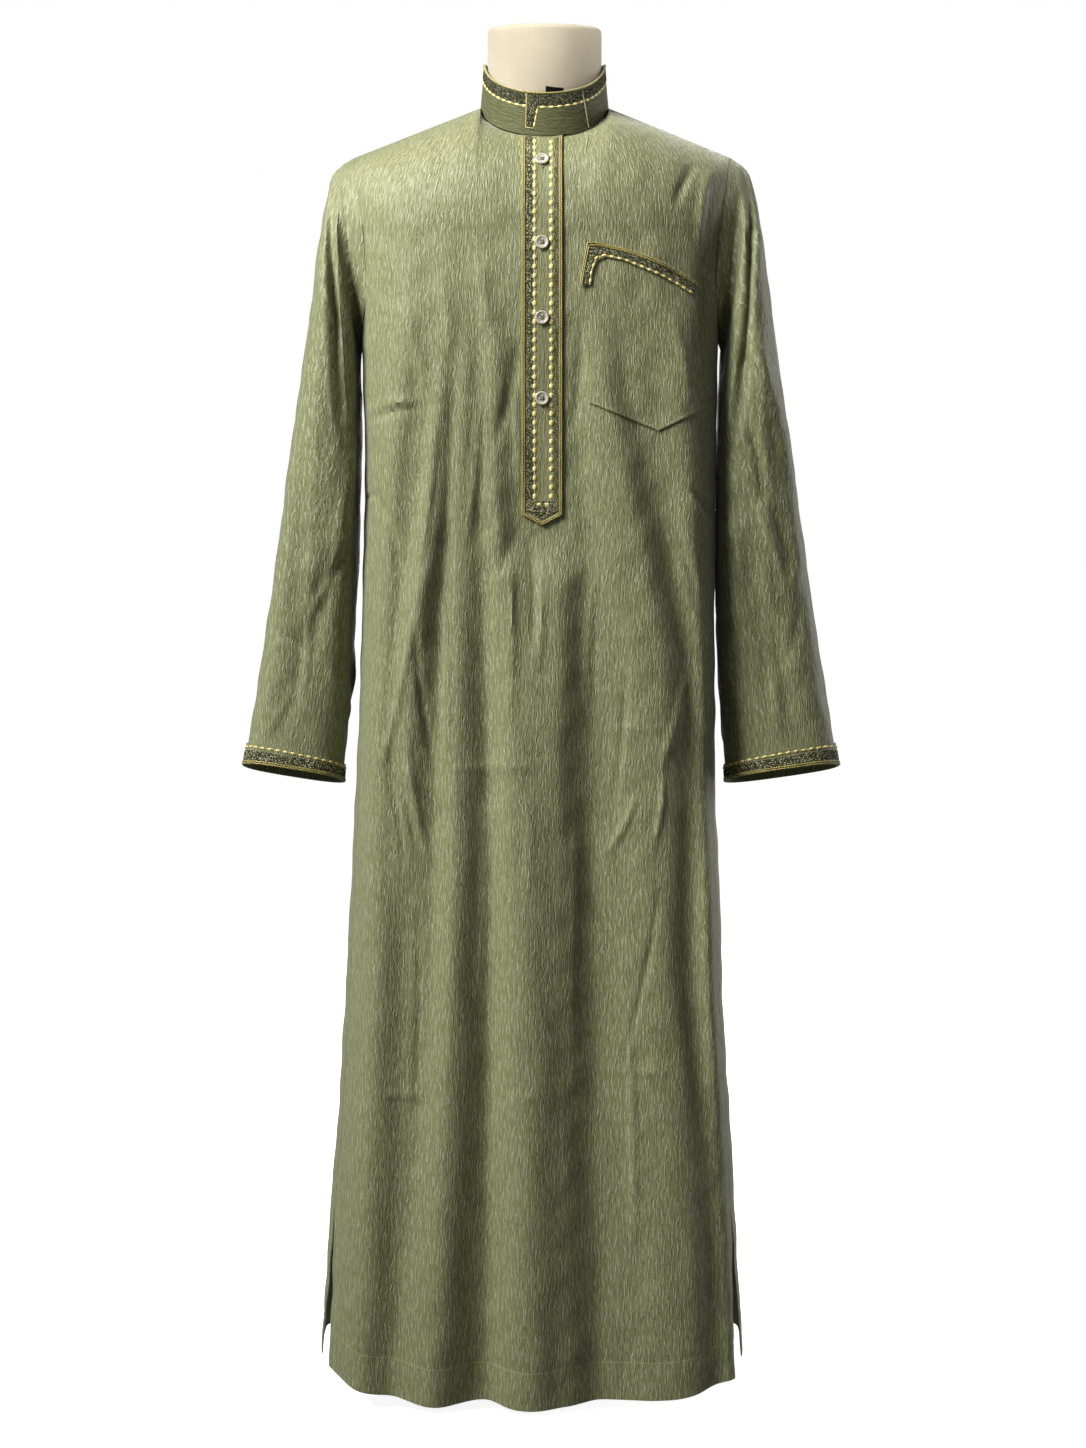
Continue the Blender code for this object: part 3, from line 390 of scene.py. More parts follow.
# Creases of the front, in millimetres: x and height of each end, bow sideways, half width
# and height, where a height below 0 is a trough
FRONT_CREASES = (
    (-180, 1039, -122, 1050, 2, 6, 2.3), (-178, 1030, -126, 1042, 2, 6, -2.6),
    (-32, 756, 9, 757, 1, 4, 1.7), (-95, 669, 10, 672, -1, 5, 1.9), (70, 708, 126, 706, 2, 5, 1.9),
    (-164, 326, -122, 328, 0, 5, 1.9), (-28, 327, 0, 329, 1, 5, 2), (70, 353, 136, 351, 1, 5, 1.7),
    (123.6, 545, 84, 358, 4, 5, -2.3), (99.7, 641, 66, 574, 3, 5, 2.9),
    (-162, 690, -131, 590, 3, 6, -3.2), (-140, 700, -114, 560, -4, 6, 2.9),
    (-150, 670, -120, 635, 2, 6, 2.6), (-23, 1112, -52, 990, 3, 8, -2.6),
    (-30, 1070, -24, 960, 3, 6, 2.9), (162, 1298, 140, 1250, -3, 9, -2.9),
    (176, 1290, 164, 1205, -3, 8, 3.2), (170, 1200, 160, 1090, 2, 8, -2.2),
    (124, 1032, 164, 985, 3, 6, 2.3), (145, 1040, 175, 1006, 2, 5, -2),
    (135, 1140, 154, 1045, 3, 8, 2.2), (42, 1130, 34, 1020, 2, 8, -2.6),
    (-150, 1150, -118, 1060, 4, 11, 3.2), (-106, 1170, -93, 1100, 3, 10, 2.3),
    (-64, 1190, -56, 1125, 2, 9, 2), (-13, 908, -9, 790, 4, 7, -2.6), (0, 860, -6, 766, 3, 6, 2.6),
    (-13, 640, -15, 530, 2, 5, 2), (-170, 950, -148, 870, 4, 8, -2.6),
    (134, 930, 162, 830, 5, 8, -2.2), (152, 770, 120, 660, 4, 8, 2.2),
    (49, 1331, 47, 1311, 0, 3, 1), (-33, 890, -30, 730, 2, 5, 3.2), (-42, 830, -36, 700, -2, 5, -2),
    (-101, 850, -100, 660, 3, 6, 3.2), (-134, 825, -166, 670, 4, 6.5, 3.8),
    (-131, 815, -112, 670, -3, 6, -3.2), (-159, 662, -143, 560, 3, 5, -2.9),
    (127, 670, 117, 585, 3, 5, 2.9), (88, 770, 76, 630, 2, 5.5, -2.3),
    (56, 870, 48, 730, -3, 6, 2.6), (-60, 640, -64, 420, 3, 6, 2.3), (38, 640, 33, 330, -3, 6, 2),
    (-128, 520, -133, 290, 3, 7, -2.3), (90, 410, 96, 160, 3, 7, 2.3),
    (-65, 1060, -78, 900, 3, 7, 2.9), (-104, 1030, -122, 870, 3, 7, -2.6),
    (-186, 950, -168, 949.5, 0, 3.2, -3), (156, 956, 178, 929, 1, 4, -4.6),
    (153, 950, 172, 921, 1, 5, 2.9)
)


def along(table, at):
    """The table's other columns at these places, on smooth curves through its rows."""
    rows = np.array(table)
    keys, values = rows[:, 0], rows[:, 1:]
    slopes = np.gradient(values, keys, axis=0)
    at = np.clip(np.asarray(at, float), keys[0], keys[-1])
    low = np.clip(np.searchsorted(keys, at) - 1, 0, len(keys) - 2)
    span = (keys[low + 1] - keys[low])[..., None]
    t = (at - keys[low])[..., None] / span
    start = (1 + 2 * t) * (1 - t) ** 2 * values[low] + t * (1 - t) ** 2 * span * slopes[low]
    end = t * t * (3 - 2 * t) * values[low + 1] + t * t * (t - 1) * span * slopes[low + 1]
    return np.moveaxis(start + end, -1, 0)


def ridge(offset, left, right):
    """1 on a ridge, falling to 0 at its half width on either side."""
    share = np.minimum(np.abs(offset) / np.where(offset < 0, left, right), 1.0)
    return 0.5 + 0.5 * np.cos(math.pi * share)


def fold_height(folds, x, z):
    """How far the folds hold the cloth out, each with a ridge that follows its rows."""
    x, z = np.broadcast_arrays(x, z)
    total = np.zeros(x.shape)
    for rows in folds:
        centre, left, right, out = along(np.array(rows) / 1000, z)
        total += out * ridge(x - centre, left, right)
    return total


def crease_height(creases, x, z):
    """How far the creases lift the cloth, each fading out towards its ends."""
    total = np.zeros(np.broadcast(x, z).shape)
    for x0, z0, x1, z1, bow, width, height in np.array(creases) / 1000:
        run = np.array((x1 - x0, z1 - z0))
        length = np.linalg.norm(run)
        run /= length
        share = ((x - x0) * run[0] + (z - z0) * run[1]) / length
        aside = -(x - x0) * run[1] + (z - z0) * run[0]
        aside = aside - bow * 4 * share * (1 - share)
        fade = np.sin(math.pi * np.clip(share, 0, 1)) ** 0.6
        total += height * fade * ridge(aside, width, width)
    return total


def rumple(x, z):
    """Soft unevenness of cloth that was folded and worn, under a millimetre high."""
    total = 0.00045 * np.sin(x * 97 + 2.1 * np.sin(z * 23 + 1.0)) * np.sin(z * 41 + 1.7 * x * 30)
    total += 0.00035 * np.sin(x * 171 + z * 37 + 1.3 * np.sin(z * 61))
    total += 0.00025 * np.sin(z * 133 + 2.0 * np.sin(x * 83 + 0.6))
    return total


def top_end(side, run):
    """y and z where a column of the wall ends: at the neck seam or on the shoulder seam."""
    level = NECK_SIDE - SHOULDER_SLOPE * np.maximum(run - NECK_HALF, 0.0)
    reach = np.sqrt(np.maximum(1 - (run / NECK_HALF) ** 2, 0.0))
    if side < 0:
        return -NECK_FRONT * reach, level - NECK_DROP * NECK_FRONT * reach
    return NECK_BACK * reach, level


def wall(side, angle, z):
    """Points of the body's wall: side is -1 in front and 1 behind, angles in radians."""
    half, middle, front, back, front_square, back_square = along(BODY, z)
    sine = np.sin(angle)
    run = half * np.abs(sine)
    x = middle + half * sine
    in_front = (side < 0) == (np.cos(angle) >= 0)
    y = np.where(in_front, front, back)
    square = np.where(in_front, front_square, back_square)
    y = y * np.maximum(1 - np.abs(sine) ** square, 0.0) ** (1 / square)
    beside = ease((np.abs(x - PLACKET_X) - PLACKET_HALF) / FLAT_BESIDE)
    free = np.maximum(beside, ease((PLACKET_TIP - z) / FLAT_BELOW))
    held = np.where(in_front, fold_height(FRONT_FOLDS, x, z) * free, fold_height(BACK_FOLDS, x, z))
    y = (y + held * (1 - np.abs(sine) ** 24)) * np.where(in_front, -1, 1)
    end_y, end_z = top_end(side, run)
    lean = SEAM_LEAN[0] + SEAM_LEAN[1] * np.exp(-1.5 * (run / NECK_HALF) ** 2)
    rise = np.clip((z - CHEST) / (end_z - CHEST), 0.0, 1.0)
    first = 2 * (end_z - lean - CHEST) / (end_z - CHEST)
    second = np.where(np.abs(1 - first) < 1e-7, 1e-7, 1 - first)
    t = (np.sqrt(np.maximum(first * first + 4 * second * rise, 0.0)) - first) / (2 * second)
    y = np.where(z > CHEST, y * (1 - t * t) + end_y * t * t, y)
    return np.stack([x, y, np.broadcast_to(z, x.shape)], axis=-1)


def column_top(side, angle):
    """Height at which each column of the wall ends."""
    z = np.full(np.shape(angle), CHEST)
    for _ in range(12):
        z = top_end(side, along(BODY, z)[0] * np.abs(np.sin(angle)))[1]
    return z


def edge_angle(side, z):
    """The angle of a panel's side edge, a hair short of the seam."""
    rows = np.array(SIDE_EDGES)
    angle = np.interp(z, rows[:, 0], rows[:, 1 if side < 0 else 2])
    return np.radians(angle - SEAM_GAP_DEG)


def hem_lift(side, angle, z):
    """The hem rises a little towards its corners, and hangs lower on a deep fold."""
    half, middle = along(BODY, z)[:2]
    held = fold_height(FRONT_FOLDS if side < 0 else BACK_FOLDS, middle + half * np.sin(angle), z)
    lift = HEM_CORNER * np.abs(np.sin(angle)) ** 5 - FOLD_DROP * held
    return lift * ease(1 - z / SLIT_TOP)


def panel(side, skirt_rows, shoulder_rows, neck_columns, side_columns):
    """A panel's grid, from its hem to the shoulder and neck seams, before its creases."""
    rows = []
    share = np.linspace(0, 1, neck_columns + 1)
    out = np.arange(1, side_columns + 1) / side_columns
    neck = math.radians(NECK_DEG)

    def angles(z):
        """The columns close up towards the neck seam's corners as they near the chest."""
        turned = ease((z - 1.05) / (CHEST - 1.05))
        inner = neck * (share * (1 - turned) + np.sin(share * math.pi / 2) * turned)
        half = np.concatenate([inner, neck + (edge_angle(side, z) - neck) * out])
        return np.concatenate([-half[:0:-1], half])

    for level in np.linspace(0, CHEST, skirt_rows + 1):
        angle = angles(level)
        z = HEM + level * (1 - HEM / CHEST) + hem_lift(side, angle, level)
        rows.append(wall(side, angle, z))
    angle = angles(CHEST)
    for step in range(1, shoulder_rows + 1):
        z = CHEST + (column_top(side, angle) - CHEST) * step / shoulder_rows
        row = wall(side, angle, z)
        row[:, 1] += side * SEAM_GAP / 2
        rows.append(row)
    return np.array(rows)


def edge_map(cut):
    """Distance from the nearest side edge and height above the hem, for the topstitching."""
    aside = np.minimum(cut[:, :, 0] - cut[:, :1, 0], cut[:, -1:, 0] - cut[:, :, 0])
    return np.stack([aside, cut[:, :, 1]], axis=2)


def robe_cloth(name, grain=1.0, stitching=(), tone=1.0, bloom=1.0):
    """Crinkled cotton blend in sage with a silky bloom. Its yarns shrink unevenly and leave
    wriggling slubs along the warp, 4 mm apart and 6 to 12 mm long, some pale and some dark; the
    pale ones are raised and the dark ones sunk, so their colours are partly the yarn's tone and
    partly painted highlight and painted shade of the crinkle.
    They are 1.2 mm wide, coarser than the real ones, so that they show. Tone darkens the colour as
    painted shade, for a piece that stands in shade, and bloom takes the sheen off where the cloth
    is fused and pressed. Topstitching is a row of 3 mm stitches in thread of the cloth's shade.
    Each row gives the axis that it keeps its distance on, across the cut or up it, how far from the
    edge it lies, the axis that it runs along, and the height above the hem that it ends at."""
    made, tree, shader = new_look(
        name, Roughness=0.6, Sheen_Weight=0.4 * bloom, Sheen_Roughness=0.4,
        Specular_IOR_Level=0.45 * bloom, Sheen_Tint=linear("#f4f3e8")
    )
    cut = add(tree, "ShaderNodeUVMap", {"uv_map": "cut"})
    swing = add(
        tree, "ShaderNodeVectorMath", {"operation": "MULTIPLY", 1: (1 / 0.007, 1 / 0.0095, 0.0)},
        {0: cut}
    )
    sway = add(tree, "ShaderNodeTexNoise", {"Scale": 1.0, "Detail": 1.5}, {"Vector": swing})
    bent = add(
        tree, "ShaderNodeVectorMath", {"operation": "MULTIPLY_ADD", 1: (0.005, 0.0, 0.0)},
        {0: sway.outputs["Color"], 2: cut}
    )

    def slubs(across, long, shift, half):
        """Strokes along the warp, one in each cell of a stretched Voronoi pattern."""
        sized = add(
            tree, "ShaderNodeVectorMath",
            {"operation": "MULTIPLY_ADD", 1: (1 / across, 1 / long, 0.0), 2: (shift, shift, 0.0)},
            {0: bent}
        )
        cell = add(
            tree, "ShaderNodeTexVoronoi",
            {"voronoi_dimensions": "2D", "Scale": 1.0, "Randomness": 0.85}, {"Vector": sized}
        )
        off = add(
            tree, "ShaderNodeVectorMath", {"operation": "SUBTRACT"},
            {0: sized, 1: cell.outputs["Position"]}
        )
        far = add(tree, "ShaderNodeVectorMath", {"operation": "ABSOLUTE"}, {0: off})
        parts = add(tree, "ShaderNodeSeparateXYZ", {}, {0: far})
        edge = {"interpolation_type": "SMOOTHSTEP", 3: 1.0, 4: 0.0}
        thin = add(
            tree, "ShaderNodeMapRange", {1: 0.2 * half / across, 2: 1.3 * half / across, **edge},
            {0: parts.outputs["X"]}
        )
        ends = add(tree, "ShaderNodeMapRange", {1: 0.2, 2: 0.6, **edge}, {0: parts.outputs["Y"]})
        return add(tree, "ShaderNodeMath", {"operation": "MULTIPLY"}, {0: thin, 1: ends})

    # pale slubs are raised and dark slubs sunk: their colours are partly painted highlight on the
    # crinkle's crests and painted shade in its troughs
    light = slubs(0.0043, 0.012, 3.0, 0.00058)
    dark = slubs(0.004, 0.0095, 11.0, 0.00058)
    fine = add(
        tree, "ShaderNodeVectorMath", {"operation": "MULTIPLY", 1: (1 / 0.0011, 1 / 0.0034, 0.0)},
        {0: bent}
    )
    yarn = add(tree, "ShaderNodeTexNoise", {"Scale": 1.0, "Detail": 2.0}, {"Vector": fine})
    ground = add(
        tree, "ShaderNodeMix", {"data_type": "RGBA", 6: linear("#525530"), 7: linear("#898b60")},
        {0: yarn}
    )
    light_share = add(tree, "ShaderNodeMath", {"operation": "MULTIPLY", 1: 0.4 * grain}, {0: light})
    dark_share = add(tree, "ShaderNodeMath", {"operation": "MULTIPLY", 1: 0.36 * grain}, {0: dark})
    shaded = add(
        tree, "ShaderNodeMix", {"data_type": "RGBA", 7: linear("#474a22")},
        {0: dark_share, 6: ground.outputs[2]}
    )
    colour = add(
        tree, "ShaderNodeMix", {"data_type": "RGBA", 7: linear("#bfbfa8")},
        {0: light_share, 6: shaded.outputs[2]}
    )
    # tone multiplies the colour down: painted shade on a piece that stands in shade
    colour = add(
        tree, "ShaderNodeMix",
        {"data_type": "RGBA", "blend_type": "MULTIPLY", 0: 1.0, 7: (tone, tone, tone, 1.0)},
        {6: colour.outputs[2]}
    )
    relief = add(tree, "ShaderNodeMath", {"operation": "MULTIPLY_ADD", 1: 0.6}, {0: light, 2: yarn})
    relief = add(
        tree, "ShaderNodeMath", {"operation": "MULTIPLY_ADD", 1: -0.7}, {0: dark, 2: relief}
    )
    if stitching:
        edges = add(tree, "ShaderNodeUVMap", {"uv_map": "edges"})
        parts = add(tree, "ShaderNodeSeparateXYZ", {}, {0: edges})
        run = add(tree, "ShaderNodeSeparateXYZ", {}, {0: cut})
        for axis, at, dashed, until in stitching:
            near = add(
                tree, "ShaderNodeMath", {"operation": "COMPARE", 1: at, 2: 0.0007},
                {0: parts.outputs[axis]}
            )
            gap = add(
                tree, "ShaderNodeMath", {"operation": "PINGPONG", 1: 0.0016},
                {0: run.outputs[dashed]}
            )
            on = add(tree, "ShaderNodeMath", {"operation": "GREATER_THAN", 1: 0.0003}, {0: gap})
            low = add(
                tree, "ShaderNodeMath", {"operation": "LESS_THAN", 1: until},
                {0: parts.outputs["Y"]}
            )
            seen = add(tree, "ShaderNodeMath", {"operation": "MULTIPLY"}, {0: near, 1: on})
            seen = add(tree, "ShaderNodeMath", {"operation": "MULTIPLY"}, {0: seen, 1: low})
            colour = add(
                tree, "ShaderNodeMix", {"data_type": "RGBA", 7: linear("#8f8f62")},
                {0: seen, 6: colour.outputs[2]}
            )
            relief = add(
                tree, "ShaderNodeMath", {"operation": "MULTIPLY_ADD", 1: 1.5}, {0: seen, 2: relief}
            )
    bump = add(tree, "ShaderNodeBump", {"Strength": 0.8, "Distance": 0.0005}, {"Height": relief})
    link(tree, shader, {"Base Color": colour.outputs[2], "Normal": bump})
    return made


panel_cloth = robe_cloth(
    "sage_crinkle_cotton_panel",
    stitching=((1, HEM_TURN, 0, 0.2), (0, SLIT_TURN, 1, SLIT_TOP - 0.01))
)


def hem_groove(cut):
    """The row of stitches draws the cloth in along the hem, with small puckers beside it."""
    up = cut[:, :, 1]
    across = cut[:, :, 0]
    groove = -0.0007 * ridge(up - HEM_TURN, 0.003, 0.003)
    pucker = np.sin(across * 2 * math.pi / 0.017 + 1.9 * np.sin(across * 41))
    return groove + 0.00035 * pucker * ridge(up - (HEM_TURN - 0.004), 0.02, 0.014)


def make_panel(name, side, creases, counts):
    """A panel of the robe, laid out, creased and given its thickness."""
    grid = panel(side, *counts)
    if side > 0:
        grid = grid[:, ::-1]
    cut = flat_cut(grid)
    normals = grid_normals(grid)
    on_seam = (np.abs(grid[-1, :, 1]) < 0.002)[:, None]
    normals[-1] = np.where(on_seam, normals[-1] * np.array((1, 0, 1)), normals[-1])
    normals /= np.linalg.norm(normals, axis=2, keepdims=True)
    x, z = grid[:, :, 0], grid[:, :, 2]
    lift = crease_height(creases, x, z) + rumple(x, z) + hem_groove(cut)
    still = ease((cut[-1:, :, 1] - cut[:, :, 1]) / 0.02)
    outer = grid + normals * (lift * still)[:, :, None]
    made = shell(f"{name}_panel", outer, outer - normals * CLOTH, panel_cloth, cut, edge_map(cut))
    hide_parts(name)


make_panel("front", -1, FRONT_CREASES, (250, 34, 15, 56))


# The back: the same cloth in one panel from the shoulders, wider over the shoulder blades,
# joined to the front by plain seams at the shoulders and down the sides to the slits.

BACK_CREASES = (
    (-150, 1260, -118, 1130, 6, 12, 3), (148, 1256, 122, 1120, -6, 12, 3),
    (-70, 1290, -50, 1210, 4, 10, 1.8), (60, 1288, 48, 1206, -4, 10, 1.8),
    (-40, 1240, 45, 1236, -6, 9, 1.6), (-165, 1060, -100, 1030, 6, 8, 2.2),
    (160, 1040, 105, 1005, -5, 8, 2), (-60, 900, -8, 888, 3, 6, 1.4), (20, 710, 90, 716, 2, 5, 1.3),
    (-150, 690, -70, 684, -2, 5, 1.3), (128, 620, 98, 520, 4, 6, -1.8),
    (-90, 560, -118, 450, 4, 6, 1.8), (-30, 350, 40, 356, 1, 5, 1.3),
    (90, 340, 160, 344, 1, 5, 1.3), (-130, 980, -150, 860, 3, 8, -1.8),
    (110, 930, 132, 800, 3, 8, -1.8), (-20, 1080, -32, 970, 3, 9, 1.8)
)
make_panel("back", 1, BACK_CREASES, (220, 28, 14, 46))


# The sleeves: tapering tubes of the same cloth, set in at the armhole with the seam turned
# towards the sleeve, which hang forward a little and crease at the armpit and the elbow.

ARMPIT = 1.112
ARMHOLE_GAP = 0.0005
SLEEVE_SIDES = 96
SLEEVE_LENGTH = 0.66
SLEEVE_START = 0.06
CUFF_BAND = 0.02

# a hanging sleeve's axis, from the shoulder, as x from the robe's middle and height, and how
# far forward it swings at the cuff
ARM_TOP = (0.203, 1.2025)
ARM_AHEAD = (0.106, -0.994)
ARM_SWING = 0.054

# along the sleeve: top or outer point, bottom or inner point, depth in front and behind,
# middle y, how far the ring's front is tipped up, and squareness
SLEEVE = (
    (0.0, 0.1995, 1.309, 0.1895, 1.112, 0.062, 0.06, 0.0, 0.0, 2.0),
    (0.06, 0.2113, 1.301, 0.191, 1.104, 0.073, 0.064, 0.0, 0.0, 2.1),
    (0.12, 0.2209, 1.289, 0.1915, 1.095, 0.078, 0.068, 0.0, 1.0, 2.3),
    (0.2, 0.228, 1.26, 0.1915, 1.076, 0.082, 0.073, -0.001, 2.0, 2.7),
    (0.3, 0.2356, 1.211, 0.191, 1.045, 0.085, 0.078, -0.003, 3.0, 3.2),
    (0.42, 0.2494, 1.104, 0.1905, 0.985, 0.086, 0.08, -0.006, 4.0, 3.6),
    (0.56, 0.2648, 0.998, 0.1905, 0.908, 0.081, 0.076, -0.013, 6.0, 3.8),
    (0.7, 0.2792, 0.891, 0.1925, 0.825, 0.069, 0.064, -0.024, 8.0, 3.6),
    (0.84, 0.2953, 0.784, 0.1965, 0.738, 0.054, 0.05, -0.037, 10.0, 3.2),
    (1.0, 0.3148, 0.663, 0.204, 0.647, 0.039, 0.037, -0.054, 11.0, 2.6)
)

# Deep creases: place along the sleeve and angle round it at each end, half width in degrees
# and depth. Angles run from the outer side over the front to the inner side.
SLEEVE_FOLDS = (
    (0.05, 20.0, 0.45, 120.0, 26.0, 0.01), (0.3, 40.0, 0.85, 75.0, 24.0, 0.005),
    (0.62, 120.0, 1.0, 60.0, 22.0, 0.004), (0.05, -20.0, 0.45, -120.0, 26.0, 0.01),
    (0.35, -45.0, 0.9, -80.0, 24.0, 0.005)
)

# Small creases of each sleeve's front, as on the panels, with x from the robe's middle
LEFT_SLEEVE_CREASES = (
    (-200, 933, -245, 820, 4, 7.2, 3.4), (-245, 830, -252, 740, 3, 7.2, 3.1),
    (-197, 1015, -220, 885, 3, 9.6, 3.7), (-205, 900, -235, 850, 4, 7.2, -3.1),
    (-270, 900, -235, 830, 4, 8.4, 3.1), (-285, 810, -240, 780, 3, 7.2, -2.7),
    (-213, 1150, -205, 1030, 3, 9.6, -3.4), (-225, 770, -200, 700, 3, 7.2, 2.7),
    (-260, 750, -290, 700, 2, 7.2, 2.4), (-216.5, 1268, -190, 1090, 3, 9.5, -4.5),
    (-235, 1220, -218, 1030, 4, 11, 2.6)
)
RIGHT_SLEEVE_CREASES = (
    (220, 1120, 262, 965, 5, 10.8, 4.4), (225, 945, 257, 840, 5, 9.6, 4.1),
    (212, 1040, 235, 940, 4, 9.6, -4.1), (200, 806, 208, 730, -6, 7.2, 4.4),
    (208, 790, 240, 740, 4, 8.4, -3.1), (235, 820, 250, 700, 3, 9.6, 2.7),
    (275, 880, 262, 780, 4, 9.6, -2.7), (213, 1220, 206, 1090, 3, 9.6, 3.4),
    (198, 920, 212, 860, 3, 7.2, 3.1), (215, 1282, 188, 1070, -3, 9.5, -4.5),
    (230, 1230, 212, 1070, -4, 11, 3)
)


def sleeve_points(hand, turn, place):
    """Points of a sleeve at these turns and places, hand is -1 at the left and 1 at the right."""
    turn = (turn + 180) % 360 - 180
    angle = np.radians(turn)
    outer_x, outer_z, inner_x, inner_z, front, back, middle_y, tip, square = along(SLEEVE, place)
    shift = -0.007 * ease(place)
    outer = np.stack([hand * outer_x, middle_y, outer_z], axis=-1)
    inner = np.stack([hand * inner_x + shift, middle_y, inner_z], axis=-1)
    tip = np.radians(tip)
    tipped = np.stack([np.zeros_like(tip), -np.cos(tip), np.sin(tip)], axis=-1)
    deep = np.where(turn >= 0, front, back)[..., None]
    pinch = np.zeros(np.broadcast(place, turn).shape)
    for first, first_turn, last, last_turn, width, depth in SLEEVE_FOLDS:
        share = np.clip((place - first) / (last - first), 0, 1)
        at = first_turn + (last_turn - first_turn) * share
        pinch += depth * np.sin(math.pi * share) ** 0.7 * ridge(turn - at, width, width)
    reach = (outer - inner) / 2
    cosine, sine = np.cos(angle), np.sin(angle)
    swell = (np.abs(cosine) ** square + np.abs(sine) ** square) ** (-1 / square)
    out = (reach * cosine[..., None] + tipped * deep * sine[..., None]) * swell[..., None]
    length = np.linalg.norm(out, axis=-1)
    return (outer + inner) / 2 + out * (1 - pinch / length)[..., None]


def sleeve_rings(hand, places):
    turn = 360 * np.arange(SLEEVE_SIDES)[None, :] / SLEEVE_SIDES
    return sleeve_points(hand, turn, np.array(places)[:, None])


def armhole_ring(hand):
    """The sleeve's first ring, which follows the armhole's edge."""
    top = float(column_top(-1, edge_angle(-1, CHEST)))
    turn = 2 * math.pi * np.arange(SLEEVE_SIDES) / SLEEVE_SIDES
    z = (top + ARMPIT) / 2 + (top - ARMPIT) / 2 * np.cos(turn)
    z = np.clip(z, ARMPIT + 0.0005, top - 0.0002)
    front = wall(-1, hand * edge_angle(-1, z), z)
    back = wall(1, hand * edge_angle(1, z), z)
    ring = np.where((turn <= math.pi)[:, None], front, back)
    ring[:, 0] += hand * ARMHOLE_GAP
    return ring[None]


def outward(grid):
    """Unit normals of a tube's rings, out of the tube."""
    normals = grid_normals(grid, wrap=True)
    spread = ((grid - grid.mean(axis=1, keepdims=True)) * normals).sum()
    return normals if spread > 0 else -normals


def sleeve_lift(hand, grid):
    """Small creases: as placed in front, and others like them behind."""
    x, y, z = np.moveaxis(grid, -1, 0)
    middle = grid.mean(axis=1, keepdims=True)[..., 1]
    creases, others = LEFT_SLEEVE_CREASES, RIGHT_SLEEVE_CREASES
    if hand > 0:
        creases, others = others, creases
    before = crease_height(creases, x, z)
    behind = crease_height(others, -x - 0.006, z + 0.012)
    placed = np.where(y < middle, before, behind) * ease(np.abs(y - middle) / 0.012)
    return placed + rumple(x + y, z)


def sleeve_grain(hand, rings):
    """Metres round and along a hanging sleeve's axis, so that the warp runs down the arm."""
    x, y, z = np.moveaxis(np.concatenate([rings, rings[:, :1]], axis=1), -1, 0)
    right, up = hand * x - ARM_TOP[0], z - ARM_TOP[1]
    run = right * ARM_AHEAD[0] + up * ARM_AHEAD[1]
    aside = -right * ARM_AHEAD[1] + up * ARM_AHEAD[0]
    turn = np.unwrap(np.arctan2(-y - ARM_SWING * ease(run / 0.6) ** 2, aside), axis=1)
    return np.stack([turn * (0.062 - 0.016 * run), run], axis=2)


sleeve_cloth = robe_cloth("sage_crinkle_cotton_sleeve")
for hand, word in ((-1, "left"), (1, "right")):
    first, last = armhole_ring(hand)[0], sleeve_rings(hand, [SLEEVE_START])[0]
    start = [first + (last - first) * ease(share) for share in (0.0, 0.25, 0.5, 0.75)]
    places = np.linspace(SLEEVE_START, 1.0, 128)
    rings = np.concatenate([np.array(start), sleeve_rings(hand, places)])
    cut = flat_cut(rings, wrap=True)
    up, down = cut[:, :-1, 1], cut[-1:, :-1, 1] - cut[:, :-1, 1]
    lift = sleeve_lift(hand, rings) * ease(up / 0.02) * ease((down - CUFF_BAND) / 0.03)
    normals = outward(rings)
    outer = rings + normals * lift[:, :, None]
    grain = sleeve_grain(hand, rings)
    sleeve = shell(
        f"set_in_sleeve_{word}", outer, outer - normals * CLOTH, sleeve_cloth, grain, wrap=True
    )
    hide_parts(f"sleeve_{word}")


# The collar: a doubled strip of the same cloth with its grain running round the neck, fused
# so that it stands. Its right end lies over its left one.

COLLAR_START = -17.3
COLLAR_END = 368.7
COLLAR_HEIGHT = 0.0445
COLLAR_CLOTH = 0.0022
COLLAR_LAP = 0.0028
COLLAR_TAPER = 0.004
COLLAR_GAP = 0.001

# wrinkles: share of the height, rise per degree, first and last degree, and depth
COLLAR_WRINKLES = (
    (0.3, 0.001, -70, -18, 0.0006), (0.18, 0.0012, -80, -24, 0.0005),
    (0.42, -0.0006, -10, 60, 0.0005), (0.25, 0.0008, 20, 110, 0.0005),
    (0.35, 0.0004, 120, 230, 0.0005)
)


def collar(turn, rise, out=0.0):
    """Points of the collar's outer face: turn in degrees from the front, rise from 0 to 1."""
    turn, rise = np.broadcast_arrays(np.asarray(turn, float), np.asarray(rise, float))
    angle = np.radians(turn)
    ahead = np.cos(angle) > 0
    deep = np.where(ahead, NECK_FRONT, NECK_BACK)
    over = np.where(turn < 90, COLLAR_LAP * (1 - ease((turn - 25) / 40)), 0.0)
    grow = over + out - COLLAR_TAPER * rise
    seam_y = -deep * np.cos(angle)
    x = NECK_X + (NECK_HALF + grow) * np.sin(angle)
    y = -(deep + grow) * np.cos(angle)
    seam_z = NECK_SIDE + np.where(ahead, NECK_DROP, 0.0) * seam_y
    z = seam_z + COLLAR_GAP + COLLAR_HEIGHT * rise
    return np.stack([x, y, z], axis=-1)


def collar_dent(turn, rise):
    """Wrinkles that run round the stand where the neck bends it, and one upright crease."""
    lift = 0.0007 * ridge(turn - (41 - 5 * rise), 1.6, 1.6) * (turn < 90)
    for at, slope, first, last, depth in COLLAR_WRINKLES:
        for lap in (0, 360):
            share = np.clip((turn - lap - first) / (last - first), 0, 1)
            centre = at + slope * (turn - lap)
            lift = lift - depth * np.sin(math.pi * share) * ridge(rise - centre, 0.06, 0.06)
    return lift


def skin_normals(spot, a, b, step_a, step_b):
    """Unit normals of a surface given as a function of two numbers."""
    across = spot(a + step_a, b) - spot(a - step_a, b)
    normals = np.cross(across, spot(a, b + step_b) - spot(a, b - step_b))
    return normals / np.linalg.norm(normals, axis=-1, keepdims=True)


